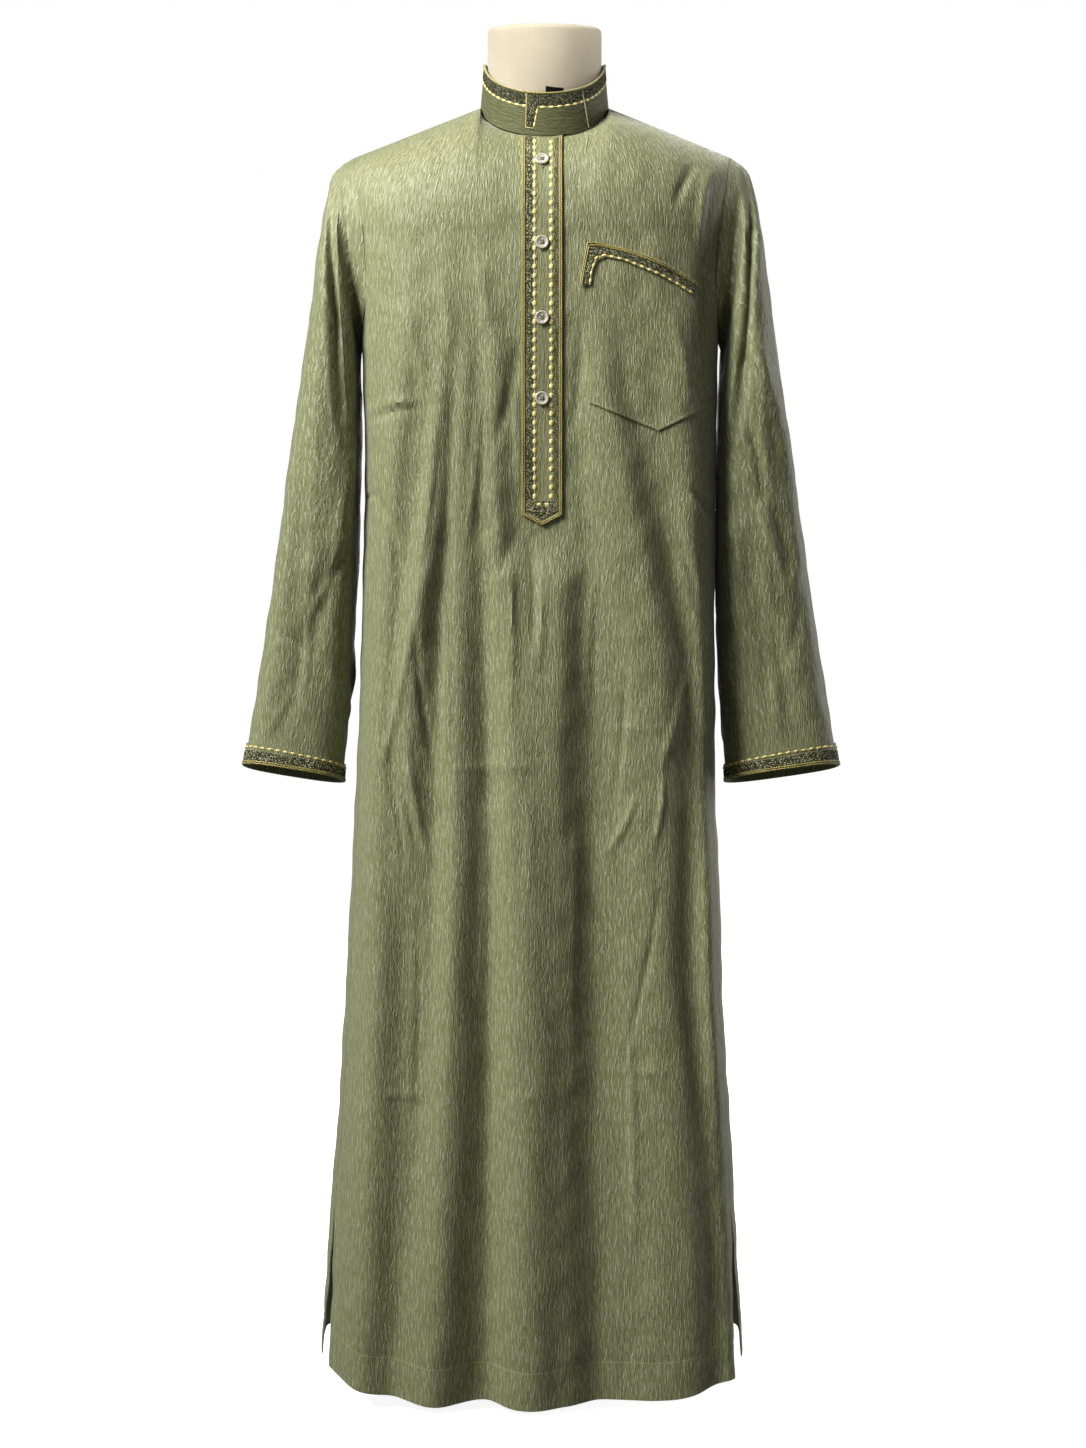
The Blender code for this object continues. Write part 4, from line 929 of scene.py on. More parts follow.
def collar_skin(turn, rise, out=0.0):
    """Points this far out from the collar's outer face, and its normals there."""
    turn, rise = np.broadcast_arrays(np.asarray(turn, float), np.asarray(rise, float))
    points = collar(turn, rise, out + collar_dent(turn, rise))
    return points, skin_normals(collar, turn, rise, 0.5, 0.02)


# the collar's tone of 0.46 is painted shade: it darkens the upright collar, which catches less of
# the light than the chest
collar_shaded_cloth = robe_cloth("sage_crinkle_cotton_collar_painted_shade", grain=0.6, tone=0.46, bloom=0.2)
turns, rises = np.meshgrid(np.linspace(COLLAR_START, COLLAR_END, 300), np.linspace(0, 1, 15))
face_out = collar(turns, rises, collar_dent(turns, rises))
face_in = collar(turns, rises, -COLLAR_CLOTH)
collar_cut = flat_cut(face_out)[:, :, ::-1]
stand_collar = shell("stand_collar", face_out, face_in, collar_shaded_cloth, collar_cut)
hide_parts("collar")


# The placket: a stiffened strip of the cloth with a pointed end, stitched over the front
# opening and edged with couched gold cord.

LYING_GAP = 0.0007
BAND = 0.0012
LAID = LYING_GAP + BAND
PLACKET_TOP = 1.3235
PLACKET_SLANT = 0.0115


def front_skin(x, z, out=0.0):
    """Points this far out from the front's outer face, and its normals there."""
    x, z = np.broadcast_arrays(np.asarray(x, float), np.asarray(z, float))

    def spot(x, z):
        half, middle = along(BODY, z)[:2]
        return wall(-1, np.arcsin((x - middle) / half), z)

    normals = skin_normals(spot, x, z, 0.002, 0.002)
    lift = crease_height(FRONT_CREASES, x, z) + rumple(x, z) + out
    return spot(x, z) + normals * lift[..., None], normals


def placket_grid(columns=17, rows=130):
    """x and height over the placket, between its point and the neck seam's curve."""
    share = np.linspace(-1, 1, columns)
    x = PLACKET_X + PLACKET_HALF * share
    low = PLACKET_TIP + PLACKET_SLANT * np.abs(share)
    high = PLACKET_TOP + 0.0014 * share**2
    rise = np.linspace(0, 1, rows)[:, None]
    return np.broadcast_to(x, (rows, columns)), low + (high - low) * rise


def patch(name, spots, gap, look, edged=False):
    """A piece laid on the front, this far off it, with a map of its edges if it has any."""
    outer, normals = front_skin(*spots, gap + BAND)
    cut = flat_cut(outer)
    return shell(name, outer, outer - normals * BAND, look, cut, edge_map(cut) if edged else None)


placket_cloth = robe_cloth("sage_crinkle_cotton_placket", grain=0.5)
placket = patch("placket_strip", placket_grid(), LYING_GAP, placket_cloth)
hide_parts("placket")


# Gold edging: two rayon cords couched side by side along the placket's sides and point, and
# one along the collar's top and its overlapping end. The pocket and cuffs have the same.

CORD_HALF = 0.0009
CORD_HEIGHT = 0.0008
TRIM_TOP = 1.3225
FINE = (0.002, 0.004)
LAP_TURN = -16.1


def spaced(line, step):
    """Points along a line of corners, with every corner kept."""
    line = np.array(line, float)
    found = [line[:1]]
    for first, last in zip(line[:-1], line[1:]):
        count = max(int(np.ceil(np.linalg.norm((last - first) / step))), 1)
        share = np.arange(1, count + 1)[:, None] / count
        found.append(first + (last - first) * share)
    return np.concatenate(found)


def tube(points, normals, half, height, sides=8, loop=False):
    """Points and faces of a flattened cord that follows a line lying on a surface."""
    if loop:
        ends = np.concatenate([points[-1:], points, points[:1]])
        ahead = np.gradient(ends, axis=0)[1:-1]
    else:
        ahead = np.gradient(points, axis=0)
    ahead /= np.linalg.norm(ahead, axis=1, keepdims=True)
    aside = np.cross(ahead, normals)
    aside /= np.linalg.norm(aside, axis=1, keepdims=True)
    turn = 2 * math.pi * np.arange(sides) / sides
    ring = aside[:, None] * (half * np.cos(turn))[None, :, None]
    ring = ring + normals[:, None] * (height * np.sin(turn))[None, :, None]
    ring = ring + (points + normals * height * 0.7)[:, None]
    count = len(points)
    faces = []
    for row in range(count if loop else count - 1):
        for side in range(sides):
            a, b = row * sides + side, row * sides + (side + 1) % sides
            c, d = (b + sides) % (count * sides), (a + sides) % (count * sides)
            faces.append((a, d, c, b))
    if not loop:
        faces.append(tuple(range(sides)))
        faces.append(tuple(reversed(range((count - 1) * sides, count * sides))))
    return ring.reshape(-1, 3), faces


def merged(parts):
    """The points and faces of many closed parts as one list of each."""
    points, faces = [], []
    start = 0
    for part_points, part_faces in parts:
        points.append(part_points)
        faces += [tuple(start + index for index in face) for face in part_faces]
        start += len(part_points)
    return np.concatenate(points), faces


def join(name, parts, look):
    """One mesh of many closed parts."""
    return add_mesh(name, *merged(parts), look)


def couch(name, skin, lines, out, look, half=CORD_HALF, height=CORD_HEIGHT):
    """Gold cords along lines on a surface, each line a list of its two coordinates."""
    parts = []
    for line, step in lines:
        path = spaced(line, step)
        points, normals = skin(path[:, 0], path[:, 1], out)
        parts.append(tube(points, normals, half, height))
    made = join(name, parts, look)
    return made


def gold_rayon():
    """Antique gold rayon cord, two plies twisted at 1.6 mm: silky, with a bright broken line along
    its crown and dark turns between its plies, which are painted highlight and painted shade laid
    into the colour along the plies' relief."""
    made, tree, shader = new_look(
        "antique_gold_rayon_cord", Roughness=0.42, Sheen_Weight=0.3, Sheen_Roughness=0.4
    )
    place = add(tree, "ShaderNodeTexCoord").outputs["Object"]
    plies = add(
        tree, "ShaderNodeTexWave",
        {"bands_direction": "DIAGONAL", "Scale": WAVE / 0.0016, "Distortion": 2.0},
        {"Vector": place}
    )
    worn = add(tree, "ShaderNodeTexNoise", {"Scale": 160.0, "Detail": 2.0}, {"Vector": place})
    # the colour follows the same waves as the bump: painted shade in the turns between the plies
    # and painted highlight on their crowns
    turns = add(
        tree, "ShaderNodeMix", {"data_type": "RGBA", 6: linear("#665c2a"), 7: linear("#ad9f54")},
        {0: plies}
    )
    colour = add(
        tree, "ShaderNodeMix", {"data_type": "RGBA", "blend_type": "SOFT_LIGHT", 0: 0.5},
        {6: turns.outputs[2], 7: worn}
    )
    bump = add(tree, "ShaderNodeBump", {"Strength": 0.6, "Distance": 0.0004}, {"Height": plies})
    link(tree, shader, {"Base Color": colour.outputs[2], "Normal": bump})
    return made


gold = gold_rayon()
placket_cords = []
for inset in (0.001, 0.0029):
    left, right = PLACKET_X - PLACKET_HALF + inset, PLACKET_X + PLACKET_HALF - inset
    low, tip = PLACKET_TIP + PLACKET_SLANT + inset * 0.3, PLACKET_TIP + inset * 1.1
    corners = [(left, TRIM_TOP), (left, low), (PLACKET_X, tip), (right, low), (right, TRIM_TOP)]
    placket_cords.append((corners, FINE))
couch("placket_gold_cords", front_skin, placket_cords, LAID, gold)

collar_turns = np.linspace(COLLAR_START + 0.2, COLLAR_END - 0.2, 240)
collar_top = [(turn, 0.995) for turn in collar_turns]
couch("collar_top_piping", collar_skin, [(collar_top, (2.0, 1.0))], -0.0011, gold, 0.0011, 0.0014)
end_lines = [[(LAP_TURN, 0.97), (LAP_TURN, 0.17)], [(LAP_TURN, 0.17), (-9.8, 0.155)]]
couch("collar_end_cord", collar_skin, [(line, (1.0, 0.05)) for line in end_lines], 0.0, gold)


# Speckled bands: machine embroidery in dark olive and dull sage thread, small loops packed
# close, which stands half a millimetre off the cloth. It edges the placket and the collar.

STITCHED_GAP = 0.0001
STITCHED_THICK = 0.0005


def ribbon(name, skin, outer_line, inner_line, steps, out, thick, look, across=4):
    """A thin closed band between two lines on a surface, with as many corners in each. Steps
    are the columns from each corner to the next."""
    lines = []
    for line in (outer_line, inner_line):
        line = np.array(line, float)
        found = [line[:1]]
        for first, last, count in zip(line[:-1], line[1:], steps):
            share = np.arange(1, count + 1)[:, None] / count
            found.append(first + (last - first) * share)
        lines.append(np.concatenate(found))
    share = np.linspace(0, 1, across + 1)[:, None, None]
    spots = lines[1][None] * (1 - share) + lines[0][None] * share
    under, _ = skin(spots[..., 0], spots[..., 1], out)
    over, _ = skin(spots[..., 0], spots[..., 1], out + thick)
    made = shell(name, over, under, look, flat_cut(over, middle=False))
    return made


def loop_embroidery(name, tone=1.0):
    """Loop-stitch embroidery: thread in loops of about 2 mm, dark olive with sage between, matt,
    and rough under the light. Tone darkens it as painted shade, as it does the cloth."""
    made, tree, shader = new_look(name, Roughness=0.85, Specular_IOR_Level=0.15)
    cut = add(tree, "ShaderNodeUVMap", {"uv_map": "cut"})
    field = add(tree, "ShaderNodeTexNoise", {"Scale": 1 / 0.002, "Detail": 1.0}, {"Vector": cut})
    off = add(tree, "ShaderNodeMath", {"operation": "SUBTRACT", 1: 0.5}, {0: field})
    far = add(tree, "ShaderNodeMath", {"operation": "ABSOLUTE"}, {0: off})
    loops = add(
        tree, "ShaderNodeMapRange",
        {"interpolation_type": "SMOOTHSTEP", 1: 0.07, 2: 0.17, 3: 1.0, 4: 0.0}, {0: far}
    )
    specks = add(tree, "ShaderNodeTexNoise", {"Scale": 1 / 0.0012, "Detail": 2.0}, {"Vector": cut})
    ground = add(
        tree, "ShaderNodeMix", {"data_type": "RGBA", 6: linear("#928f66"), 7: linear("#cfcba8")},
        {0: specks}
    )
    colour = add(
        tree, "ShaderNodeMix", {"data_type": "RGBA", 7: linear("#32351f")},
        {0: loops, 6: ground.outputs[2]}
    )
    # tone multiplies the colour down as painted shade
    colour = add(
        tree, "ShaderNodeMix",
        {"data_type": "RGBA", "blend_type": "MULTIPLY", 0: 1.0, 7: (tone, tone, tone, 1.0)},
        {6: colour.outputs[2]}
    )
    bump = add(tree, "ShaderNodeBump", {"Strength": 0.9, "Distance": 0.0006}, {"Height": loops})
    link(tree, shader, {"Base Color": colour.outputs[2], "Normal": bump})
    return made


embroidery = loop_embroidery("olive_loop_embroidery")
# a copy darkened to the collar's tone of 0.46, as painted shade on the collar's band
collar_shaded_embroidery = loop_embroidery("collar_painted_shade_loop_embroidery", tone=0.46)
ribbon(
    "placket_embroidery", front_skin,
    [
        (-0.0158, TRIM_TOP), (-0.0158, 0.9352), (PLACKET_X, 0.9258), (0.0178, 0.9352),
        (0.0178, TRIM_TOP)
    ],
    [
        (-0.0095, TRIM_TOP), (-0.0095, 0.945), (PLACKET_X, 0.945), (0.0133, 0.945),
        (0.0133, TRIM_TOP)
    ],
    (110, 8, 8, 110), LAID + STITCHED_GAP, STITCHED_THICK, embroidery
)
ribbon(
    "collar_embroidery", collar_skin, [(-15.2, 0.19), (-15.2, 0.955), (COLLAR_END - 1.0, 0.955)],
    [(-10.2, 0.19), (-7.0, 0.72), (COLLAR_END - 1.0, 0.72)], (14, 200), STITCHED_GAP,
    STITCHED_THICK, collar_shaded_embroidery
)


# Dashes: plump satin-stitched beads in pale yellow rayon, joined by a thin running thread.
# A row runs down each inner side of the placket, and one round the collar and down its end.

DASH_THREAD = 0.00028
EVEN = (0.01, 0.01)


def beads(places, normals, ahead, length, width, height, rings=7, sides=10):
    """Small closed domes, one at each place, laid along the line that they follow."""
    lift = np.linspace(-1, 1, rings + 2)[1:-1]
    turn = 2 * math.pi * np.arange(sides) / sides
    parts = []
    for place, normal, along_line in zip(places, normals, ahead):
        aside = np.cross(normal, along_line)
        long = along_line * length / 2
        wide = aside * width / 2
        points = [place - long]
        for share in lift:
            girth = (1 - abs(share) ** 2.4) ** (1 / 2.2)
            for angle in turn:
                bulge = wide * math.cos(angle) * girth + normal * height * math.sin(angle) * girth
                points.append(place + long * share + bulge)
        points.append(place + long)
        last = len(points) - 1
        faces = []
        for side in range(sides):
            after = (side + 1) % sides
            faces.append((0, 1 + after, 1 + side))
            for ring in range(rings - 1):
                a, b = 1 + ring * sides + side, 1 + ring * sides + after
                faces.append((a, b, b + sides, a + sides))
            top = 1 + (rings - 1) * sides
            faces.append((last, top + side, top + after))
        parts.append((np.array(points), faces))
    return parts


def dash_row(name, skin, rows, out, look, size):
    """Rows of beads along lines on a surface, and the thread that joins them. The size is a
    bead's length, width and height, and the pitch of the row."""
    length, width, height, pitch = size
    parts = []
    for line, step in rows:
        path = spaced(line, (step[0] / 8, step[1] / 8))
        points, normals = skin(path[:, 0], path[:, 1], out)
        run = np.concatenate([[0], np.cumsum(np.linalg.norm(np.diff(points, axis=0), axis=1))])
        ahead = np.gradient(points, axis=0)
        ahead /= np.linalg.norm(ahead, axis=1, keepdims=True)
        count = max(int(round(run[-1] / pitch)), 1)
        at = (np.arange(count) + 0.5) * run[-1] / count
        picked = [
            np.stack([np.interp(at, run, part[:, axis]) for axis in range(3)], axis=1)
            for part in (points, normals, ahead)
        ]
        parts += beads(*picked, length, width, height)
        parts.append(tube(points, normals, DASH_THREAD, DASH_THREAD * 0.8, 6))
    made = join(name, parts, look)
    return made


def yellow_rayon():
    """Pale yellow rayon embroidery thread in satin stitch: silky, with the 0.4 mm threads lying
    across each bead, drawn at 0.8 mm so that they show."""
    made, tree, shader = new_look(
        "pale_yellow_rayon_thread", Roughness=0.38, Sheen_Weight=0.4, Sheen_Roughness=0.35
    )
    place = add(tree, "ShaderNodeTexCoord").outputs["Object"]
    lay = add(
        tree, "ShaderNodeTexWave",
        {"bands_direction": "Z", "Scale": WAVE / 0.0008, "Distortion": 1.0}, {"Vector": place}
    )
    shade = add(tree, "ShaderNodeTexNoise", {"Scale": 220.0, "Detail": 1.0}, {"Vector": place})
    colour = add(
        tree, "ShaderNodeMix", {"data_type": "RGBA", 6: linear("#c7ab4e"), 7: linear("#f0e0a0")},
        {0: shade}
    )
    bump = add(tree, "ShaderNodeBump", {"Strength": 0.5, "Distance": 0.0002}, {"Height": lay})
    link(tree, shader, {"Base Color": colour.outputs[2], "Normal": bump})
    return made


yellow = yellow_rayon()
placket_rows = [
    ([(-0.0068, TRIM_TOP - 0.002), (-0.0068, 0.945)], EVEN),
    ([(0.0106, TRIM_TOP - 0.002), (0.0106, 0.945)], EVEN),
    ([(-0.0062, 0.9415), (0.01, 0.9415)], EVEN)
]
dash_row("placket_dashes", front_skin, placket_rows, LAID, yellow, (0.006, 0.0044, 0.0011, 0.0094))
dash_row(
    "collar_dashes", collar_skin, [([(-5.6, 0.67), (COLLAR_END - 8, 0.67)], (8.0, 0.1))], 0.0,
    yellow, (0.0056, 0.0026, 0.0009, 0.009)
)
dash_row(
    "collar_end_dashes", collar_skin, [([(-6.2, 0.64), (-9.4, 0.18)], (4.0, 0.2))], 0.0, yellow,
    (0.0056, 0.0022, 0.0009, 0.0078)
)


# The buttons: four 14.4 mm polyester shirt buttons with a pearly, dished face and four holes,
# sewn on with sage thread through worked buttonholes that run down the placket.

BUTTON_LEVELS = (1.298, 1.2125, 1.135, 1.0515)
BUTTON_RADIUS = 0.0072
BUTTON_THICK = 0.0026
BUTTON_GAP = 0.0004
HOLE_APART = 0.0016
HOLE_RADIUS = 0.0009
BUTTONHOLE_HALF = 0.0011
BUTTONHOLE_REACH = 0.0079

# radius and height of the button's turned profile, as shares of its radius and thickness
BUTTON_PROFILE = (
    (0.8, 0.0), (0.94, 0.12), (1.0, 0.36), (1.0, 0.68), (0.97, 0.88), (0.9, 1.0), (0.8, 1.0),
    (0.71, 0.88), (0.62, 0.72), (0.4, 0.66)
)


def turned(profile, spot, axes, sides):
    """Rings of a turned profile of radii and heights, which stand on a spot along its axes."""
    angle = 2 * math.pi * np.arange(sides) / sides
    across, up, out = axes
    rings = []
    for radius, height in profile:
        round_it = np.cos(angle)[:, None] * across + np.sin(angle)[:, None] * up
        rings.append(spot + radius * round_it + height * out)
    faces = []
    for ring in range(len(profile) - 1):
        for side in range(sides):
            a, b = ring * sides + side, ring * sides + (side + 1) % sides
            faces.append((a, b, b + sides, a + sides))
    faces.append(tuple(range(sides))[::-1])
    faces.append(tuple(range((len(profile) - 1) * sides, len(profile) * sides)))
    return np.concatenate(rings), faces


def drill(made, parts):
    """Cuts closed parts out of a mesh."""
    points, faces = merged(parts)
    mesh = bpy.data.meshes.new("holes")
    mesh.from_pydata(points.tolist(), [], faces)
    cutter = bpy.data.objects.new("holes", mesh)
    bpy.context.scene.collection.objects.link(cutter)
    cut = made.modifiers.new("holes", "BOOLEAN")
    cut.object = cutter
    cut.solver = "EXACT"
    seen = made.evaluated_get(bpy.context.evaluated_depsgraph_get())
    result = bpy.data.meshes.new_from_object(seen)
    made.modifiers.remove(cut)
    made.data = result
    made.data.set_sharp_from_angle(angle=math.radians(40))
    bpy.data.objects.remove(cutter)


def pearl_polyester():
    """Cast polyester with pearl pigment: glossy, with pale clouds about 3 mm wide."""
    made, tree, shader = new_look("pearl_polyester", Roughness=0.28, Coat_Weight=0.25)
    place = add(tree, "ShaderNodeTexCoord").outputs["Object"]
    cloud = add(
        tree, "ShaderNodeTexNoise", {"Scale": 330.0, "Detail": 3.0, "Distortion": 1.2},
        {"Vector": place}
    )
    colour = add(
        tree, "ShaderNodeMix", {"data_type": "RGBA", 6: linear("#8f8a78"), 7: linear("#c4bfae")},
        {0: cloud}
    )
    link(tree, shader, {"Base Color": colour.outputs[2]})
    return made


def sewing_thread(name, code):
    """Spun polyester thread: matt, with a twist of 0.6 mm."""
    made, tree, shader = new_look(name, Roughness=0.7, Sheen_Weight=0.2, Base_Color=linear(code))
    place = add(tree, "ShaderNodeTexCoord").outputs["Object"]
    twist = add(
        tree, "ShaderNodeTexWave",
        {"bands_direction": "DIAGONAL", "Scale": WAVE / 0.0006, "Distortion": 0.5},
        {"Vector": place}
    )
    bump = add(tree, "ShaderNodeBump", {"Strength": 0.4, "Distance": 0.0001}, {"Height": twist})
    link(tree, shader, {"Normal": bump})
    return made


pearl = pearl_polyester()
sage_thread = sewing_thread("sage_sewing_thread", "#6f7148")
dark_thread = sewing_thread("olive_button_thread", "#4a4628")
buttonholes, crosses = [], []
for number, level in enumerate(BUTTON_LEVELS, 1):
    spots, normals = front_skin(np.array([PLACKET_X]), np.array([level]), LAID + BUTTON_GAP)
    out = normals[0]
    across = np.array((1.0, 0.0, 0.0)) - out[0] * out
    across /= np.linalg.norm(across)
    axes = (across, np.cross(out, across), out)
    profile = [(r * BUTTON_RADIUS, h * BUTTON_THICK) for r, h in BUTTON_PROFILE]
    points, faces = turned(profile, spots[0], axes, 48)
    button = add_mesh(f"pearl_button_{number}", points, faces, pearl)
    holes = []
    for right, high in ((-1, -1), (1, -1), (1, 1), (-1, 1)):
        foot = spots[0] + HOLE_APART * (right * axes[0] + high * axes[1]) - 0.001 * out
        holes.append(turned([(HOLE_RADIUS, 0.0), (HOLE_RADIUS, 0.005)], foot, axes, 16))
    drill(button, holes)
    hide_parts(f"button_{number}")
    for slant in (-1, 1):
        ends = np.linspace(-1, 1, 9)[:, None]
        arch = BUTTON_THICK * (0.72 + 0.22 * np.sqrt(1 - ends**2))
        path = spots[0] + HOLE_APART * ends * (axes[0] + slant * axes[1]) + arch * out
        crosses.append(tube(path, np.repeat(out[None], 9, 0), 0.00042, 0.0004, 6))
    turn = np.linspace(0, 2 * math.pi, 40, endpoint=False)
    loop_x = PLACKET_X + BUTTONHOLE_HALF * np.cos(turn)
    end = np.sign(np.sin(turn)) * (np.abs(np.sin(turn)) > 0.05)
    loop_z = level + BUTTONHOLE_REACH * end + BUTTONHOLE_HALF * np.sin(turn)
    ring, lifts = front_skin(loop_x, loop_z, LAID)
    buttonholes.append(tube(ring, lifts, 0.0006, 0.0006, loop=True))
join("button_cross_stitches", crosses, dark_thread)
join("worked_buttonholes", buttonholes, sage_thread)


# The basting: a pale thread that was left in, from the collar's upper edge down its right
# side and a little way over the front below the neck seam.

BASTING_HALF = 0.0004

pale_thread = sewing_thread("pale_basting_thread", "#a9ac84")
stand_share = np.linspace(0.0, 1.0, 24)
basting = []
for points, normals in (
    collar_skin(36 + 5 * stand_share, 0.93 - 0.91 * stand_share),
    front_skin(np.linspace(0.05, 0.0462, 12), np.linspace(1.327, 1.308, 12), 0.0002)
):
    basting.append(tube(points, normals, BASTING_HALF, BASTING_HALF))
join("basting_thread", basting, pale_thread)


# The black tape: the slanting end of a narrow woven hanger tape, sewn inside the collar's back
# seam, which stands up behind the collar's front edge.

TAPE_THICK = 0.001
TAPE_BEHIND = COLLAR_CLOTH + 0.0004
TAPE_TURNS = (361.0, 379.0)
TAPE_RISES = (0.8, 1.18)
TAPE_SLANT = 0.085


def woven_tape():
    """Black polyester twill tape: matt, with ribs 1 mm apart along its length."""
    made, tree, shader = new_look(
        "black_twill_tape", Roughness=0.9, Base_Color=linear("#080808"), Specular_IOR_Level=0.08
    )
    cut = add(tree, "ShaderNodeUVMap", {"uv_map": "cut"})
    ribs = add(
        tree, "ShaderNodeTexWave",
        {"bands_direction": "DIAGONAL", "Scale": WAVE / 0.001, "Distortion": 0.4}, {"Vector": cut}
    )
    bump = add(tree, "ShaderNodeBump", {"Strength": 0.6, "Distance": 0.0002}, {"Height": ribs})
    link(tree, shader, {"Normal": bump})
    return made


tape_across, tape_up = np.linspace(0, 1, 14)[None, :], np.linspace(0, 1, 10)[:, None]
tape_turns = TAPE_TURNS[0] + (TAPE_TURNS[1] - TAPE_TURNS[0]) * tape_across
tape_rises = TAPE_RISES[0] + (TAPE_RISES[1] - TAPE_RISES[0]) * tape_up
tape_rises = tape_rises - TAPE_SLANT * tape_across * tape_up
tape_faces = [
    collar(tape_turns, tape_rises, -depth) for depth in (TAPE_BEHIND, TAPE_BEHIND + TAPE_THICK)
]
tape = shell("black_tape_end", *tape_faces, woven_tape(), flat_cut(tape_faces[0], middle=False))
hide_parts("neck_tape")


# The chest pocket: a patch of the same cloth with a pointed bottom, topstitched on, whose
# mouth is bound by an embroidered band that turns down its left side.

POCKET_GAP = 0.0006
POCKET_STITCH = 0.0024

# the sides' x at the mouth and at the foot, and x and height along the pointed foot
POCKET_LEFT = (0.0487, 0.0497)
POCKET_RIGHT = (0.161, 0.169)
POCKET_FOOT = ((0.0497, 1.047), (0.1216, 1.018), (0.169, 1.041))

# along the band: outer edge x and height, inner edge x and height
POCKET_BAND = (
    (0.0396, 1.1685, 0.0516, 1.168), (0.043, 1.189, 0.053, 1.181), (0.0474, 1.213, 0.058, 1.1935),
    (0.056, 1.2125, 0.067, 1.197), (0.085, 1.206, 0.086, 1.193), (0.108, 1.199, 0.104, 1.1855),
    (0.1302, 1.19, 0.123, 1.1775), (0.148, 1.18, 0.139, 1.169), (0.161, 1.1705, 0.156, 1.158)
)


def pocket_grid(columns=44, rows=52):
    """x and height over the pocket, from its pointed foot to its mouth."""
    across = np.linspace(0, 1, columns)[None, :]
    rise = np.linspace(0, 1, rows)[:, None]
    low_x = POCKET_LEFT[1] + (POCKET_RIGHT[1] - POCKET_LEFT[1]) * across
    top_x = POCKET_LEFT[0] + (POCKET_RIGHT[0] - POCKET_LEFT[0]) * across
    low_z = np.interp(low_x, *np.transpose(POCKET_FOOT))
    band = np.array(POCKET_BAND[2:])
    top_z = np.interp(top_x, band[:, 0], band[:, 1]) - 0.0015
    return low_x + (top_x - low_x) * rise, low_z + (top_z - low_z) * rise


pocket_cloth = robe_cloth(
    "sage_crinkle_cotton_pocket", stitching=((0, POCKET_STITCH, 1, 0.2), (1, POCKET_STITCH, 0, 0.2))
)
pocket = patch("chest_pocket", pocket_grid(), POCKET_GAP, pocket_cloth, edged=True)
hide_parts("pocket")


def in_band(share):
    """A line along the pocket's band, this share of the way from its outer edge in."""
    outer, inner = np.hsplit(np.array(POCKET_BAND), 2)
    return outer + (inner - outer) * share


on_pocket = POCKET_GAP + BAND + LYING_GAP
columns = (6,) * (len(POCKET_BAND) - 1)
pocket_trim = ribbon(
    "pocket_trim", front_skin, in_band(0), in_band(1), columns, on_pocket, BAND, placket_cloth
)
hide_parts("pocket_band")
on_trim = on_pocket + BAND
couch(
    "pocket_gold_cords", front_skin, [(in_band(share), FINE) for share in (0.08, 0.22)], on_trim,
    gold
)
ribbon(
    "pocket_embroidery", front_skin, in_band(0.32), in_band(0.74), columns, on_trim + STITCHED_GAP,
    STITCHED_THICK, embroidery, across=3
)
dash_row(
    "pocket_dashes", front_skin, [(in_band(0.89), EVEN)], on_trim, yellow,
    (0.0052, 0.0028, 0.0009, 0.0082)
)


# The cuffs: each sleeve ends in a 20 mm band of the cloth, laid round it and stitched down,
# with two gold cords at its edge, a band of loop embroidery and a row of dashes.

CUFF_STITCHED = (0.0045, 0.013)
CUFF_CORDS = (0.0012, 0.0031)
CUFF_DASHES = 0.0165


def cuff_skin(hand):
    """Points out from a sleeve's face near its end, at these turns and metres up from it."""

    def spot(turn, up):
        return sleeve_points(hand, turn, 1 - up / SLEEVE_LENGTH)

    def skin(turn, up, out=0.0):
        turn, up = np.broadcast_arrays(np.asarray(turn, float), np.asarray(up, float))
        normals = skin_normals(spot, turn, up, 1.0, 0.002)
        middle = (spot(np.zeros(1), up.ravel()[:1]) + spot(np.full(1, 180.0), up.ravel()[:1])) / 2
        away = ((spot(turn, up) - middle.reshape(3)) * normals).sum()
        normals = normals if away > 0 else -normals
        return spot(turn, up) + normals * out, normals

    return skin


def cuff_ring(name, skin, low, high, rows, out, thick, look):
    """A closed band round a sleeve, between two heights above its end."""
    heights = np.linspace(low, high, rows)[:, None]
    under, over = (skin(around[None, :], heights, level)[0] for level in (out, out + thick))
    made = shell(name, over, under, look, flat_cut(over, wrap=True), wrap=True)
    return made


around = np.linspace(0, 360, SLEEVE_SIDES, endpoint=False)
for hand, word in ((-1, "left"), (1, "right")):
    skin = cuff_skin(hand)
    band = cuff_ring(
        f"cuff_band_cloth_{word}", skin, 0.0003, CUFF_BAND, 6, LYING_GAP, BAND, placket_cloth
    )
    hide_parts(f"cuff_band_{word}")
    cords = []
    for up in CUFF_CORDS:
        points, normals = skin(around, up, LAID)
        cords.append(tube(points, normals, CORD_HALF, CORD_HEIGHT, loop=True))
    join(f"cuff_gold_cords_{word}", cords, gold)
    on_band = (LAID + STITCHED_GAP, STITCHED_THICK, embroidery)
    cuff_ring(f"cuff_embroidery_{word}", skin, *CUFF_STITCHED, 4, *on_band)
    dash_row(
        f"cuff_dashes_{word}", skin, [([(0.0, CUFF_DASHES), (359.9, CUFF_DASHES)], (8.0, 0.01))],
        LAID, yellow, (0.0052, 0.0026, 0.0009, 0.0084)
    )


# What the camera sees: the photograph's view from just above the robe's middle, a plain white
# floor, soft light from the upper left, two narrow lamps for the bright neck and chest, a fill
# at the right, a weak light behind that the photo's view doesn't see, and a white room.

CAMERA_AWAY = 4.2
CAMERA_AIM = 0.704
CAMERA_ELEVATION = math.radians(4)
FLOOR_HALF = 30
WHITE = (1.0, 1.0, 1.0, 1.0)

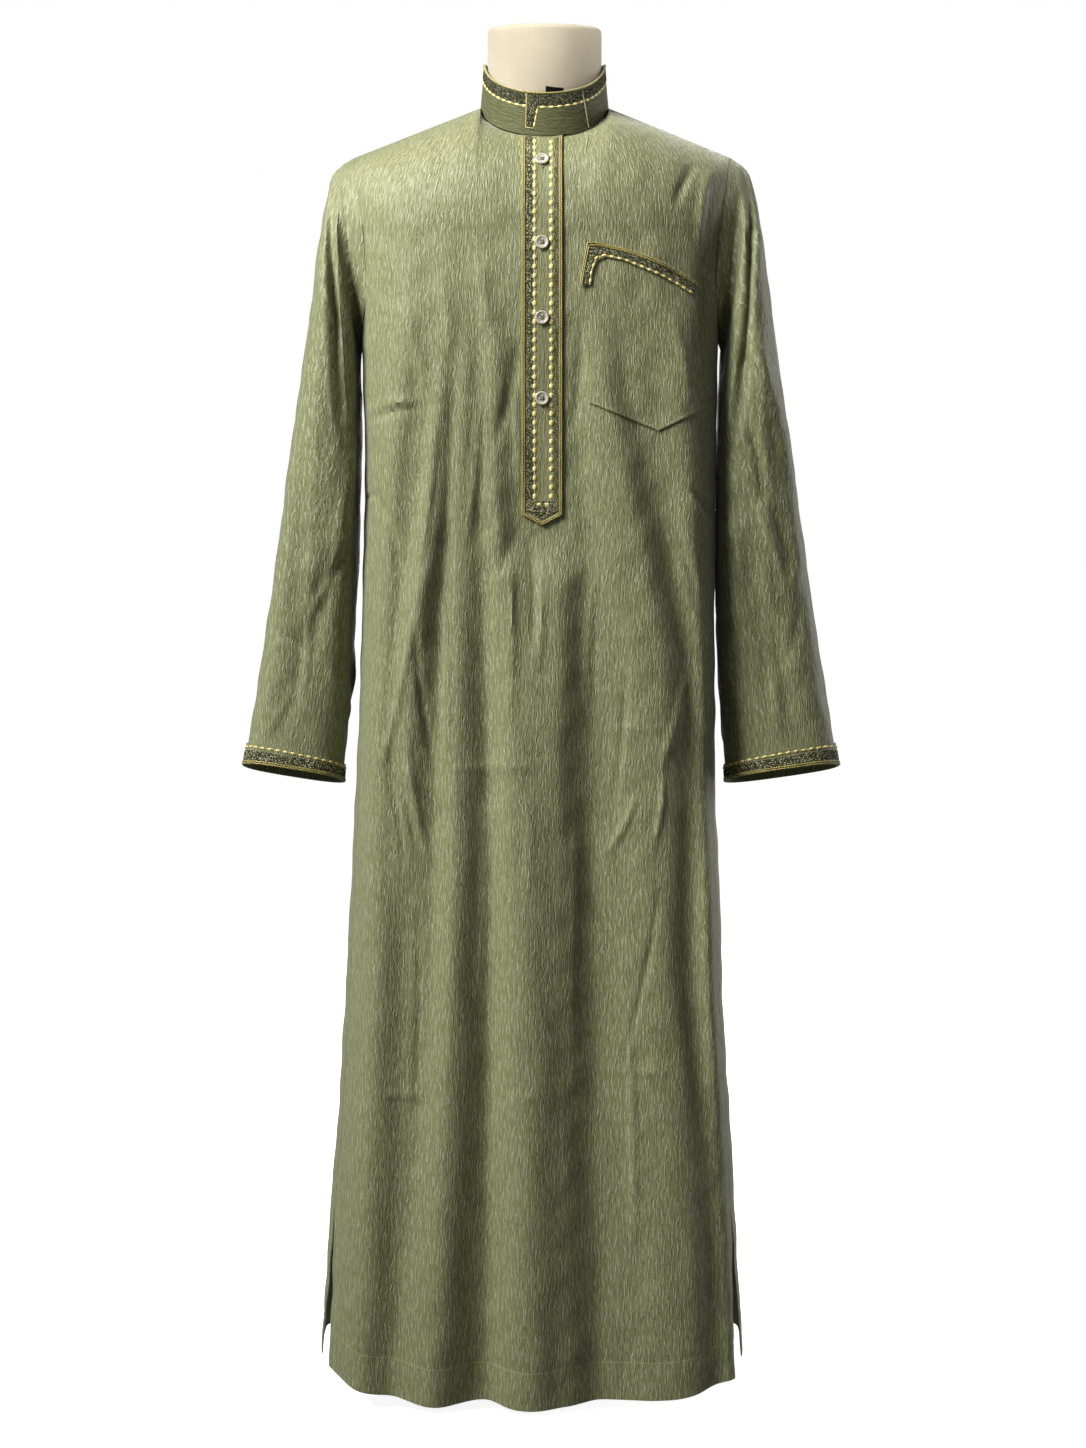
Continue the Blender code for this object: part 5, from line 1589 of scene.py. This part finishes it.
# name, place, target, size, power and spread in degrees
LIGHTS = (
    ("key", (-3.0, -1.8, 4.2), (0.0, 0.0, 1.25), 2.2, 40, 37),
    ("neck_light", (1.9, -3.1, 1.9), (0.0, 0.0, 1.49), 0.12, 0.16, 5),
    ("chest_light", (-2.2, -2.6, 3.2), (-0.1, 0.0, 1.31), 0.3, 0.34, 8),
    ("side_fill", (3.6, 1.7, 1.3), (0.0, 0.0, 0.85), 2.0, 14, 70),
    ("back_fill", (0.3, 3.6, 1.0), (0.0, 0.0, 0.8), 2.0, 45, 180)
)

scene = bpy.context.scene
scene.view_settings.view_transform = "Standard"
lens = bpy.data.cameras.new("camera")
lens.lens = 97.1
lens.sensor_width = 36.0
camera = bpy.data.objects.new("camera", lens)
scene.collection.objects.link(camera)
away, up = CAMERA_AWAY * math.cos(CAMERA_ELEVATION), CAMERA_AWAY * math.sin(CAMERA_ELEVATION)
camera.location = (0.002, -away, CAMERA_AIM + up)
camera.rotation_euler = (math.pi / 2 - CAMERA_ELEVATION, 0.0, 0.0)
scene.camera = camera

floor_mesh = bpy.data.meshes.new("floor")
corners = [(x * FLOOR_HALF, y * FLOOR_HALF, 0) for x, y in ((-1, -1), (1, -1), (1, 1), (-1, 1))]
floor_mesh.from_pydata(corners, [], [(0, 1, 2, 3)])
floor = bpy.data.objects.new("floor", floor_mesh)
scene.collection.objects.link(floor)
paper = new_look(
    "matt_white_paper", Roughness=0.9, Base_Color=linear("#f2f2f2"), Specular_IOR_Level=0.0,
    Emission_Color=WHITE, Emission_Strength=0.9
)
floor_mesh.materials.append(paper[0])
floor.visible_diffuse = False
floor.visible_glossy = False
floor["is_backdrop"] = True

for name, place, target, size, power, spread in LIGHTS:
    lamp = bpy.data.lights.new(name, "AREA")
    lamp.size = size
    lamp.spread = math.radians(spread)
    lamp.energy = power
    made = bpy.data.objects.new(name, lamp)
    scene.collection.objects.link(made)
    made.location = place
    made.rotation_euler = (Vector(target) - Vector(place)).to_track_quat("-Z", "Y").to_euler()

world = bpy.data.worlds.new("studio")
scene.world = world
world.use_nodes = True
room = world.node_tree
room.nodes.clear()
soft = add(room, "ShaderNodeBackground", {"Color": WHITE, "Strength": 0.15})
white = add(room, "ShaderNodeBackground", {"Color": WHITE, "Strength": 1.0})
path = add(room, "ShaderNodeLightPath")
both = add(room, "ShaderNodeMixShader", {}, {0: path.outputs["Is Camera Ray"], 1: soft, 2: white})
add(room, "ShaderNodeOutputWorld", {}, {0: both})

low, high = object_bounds()
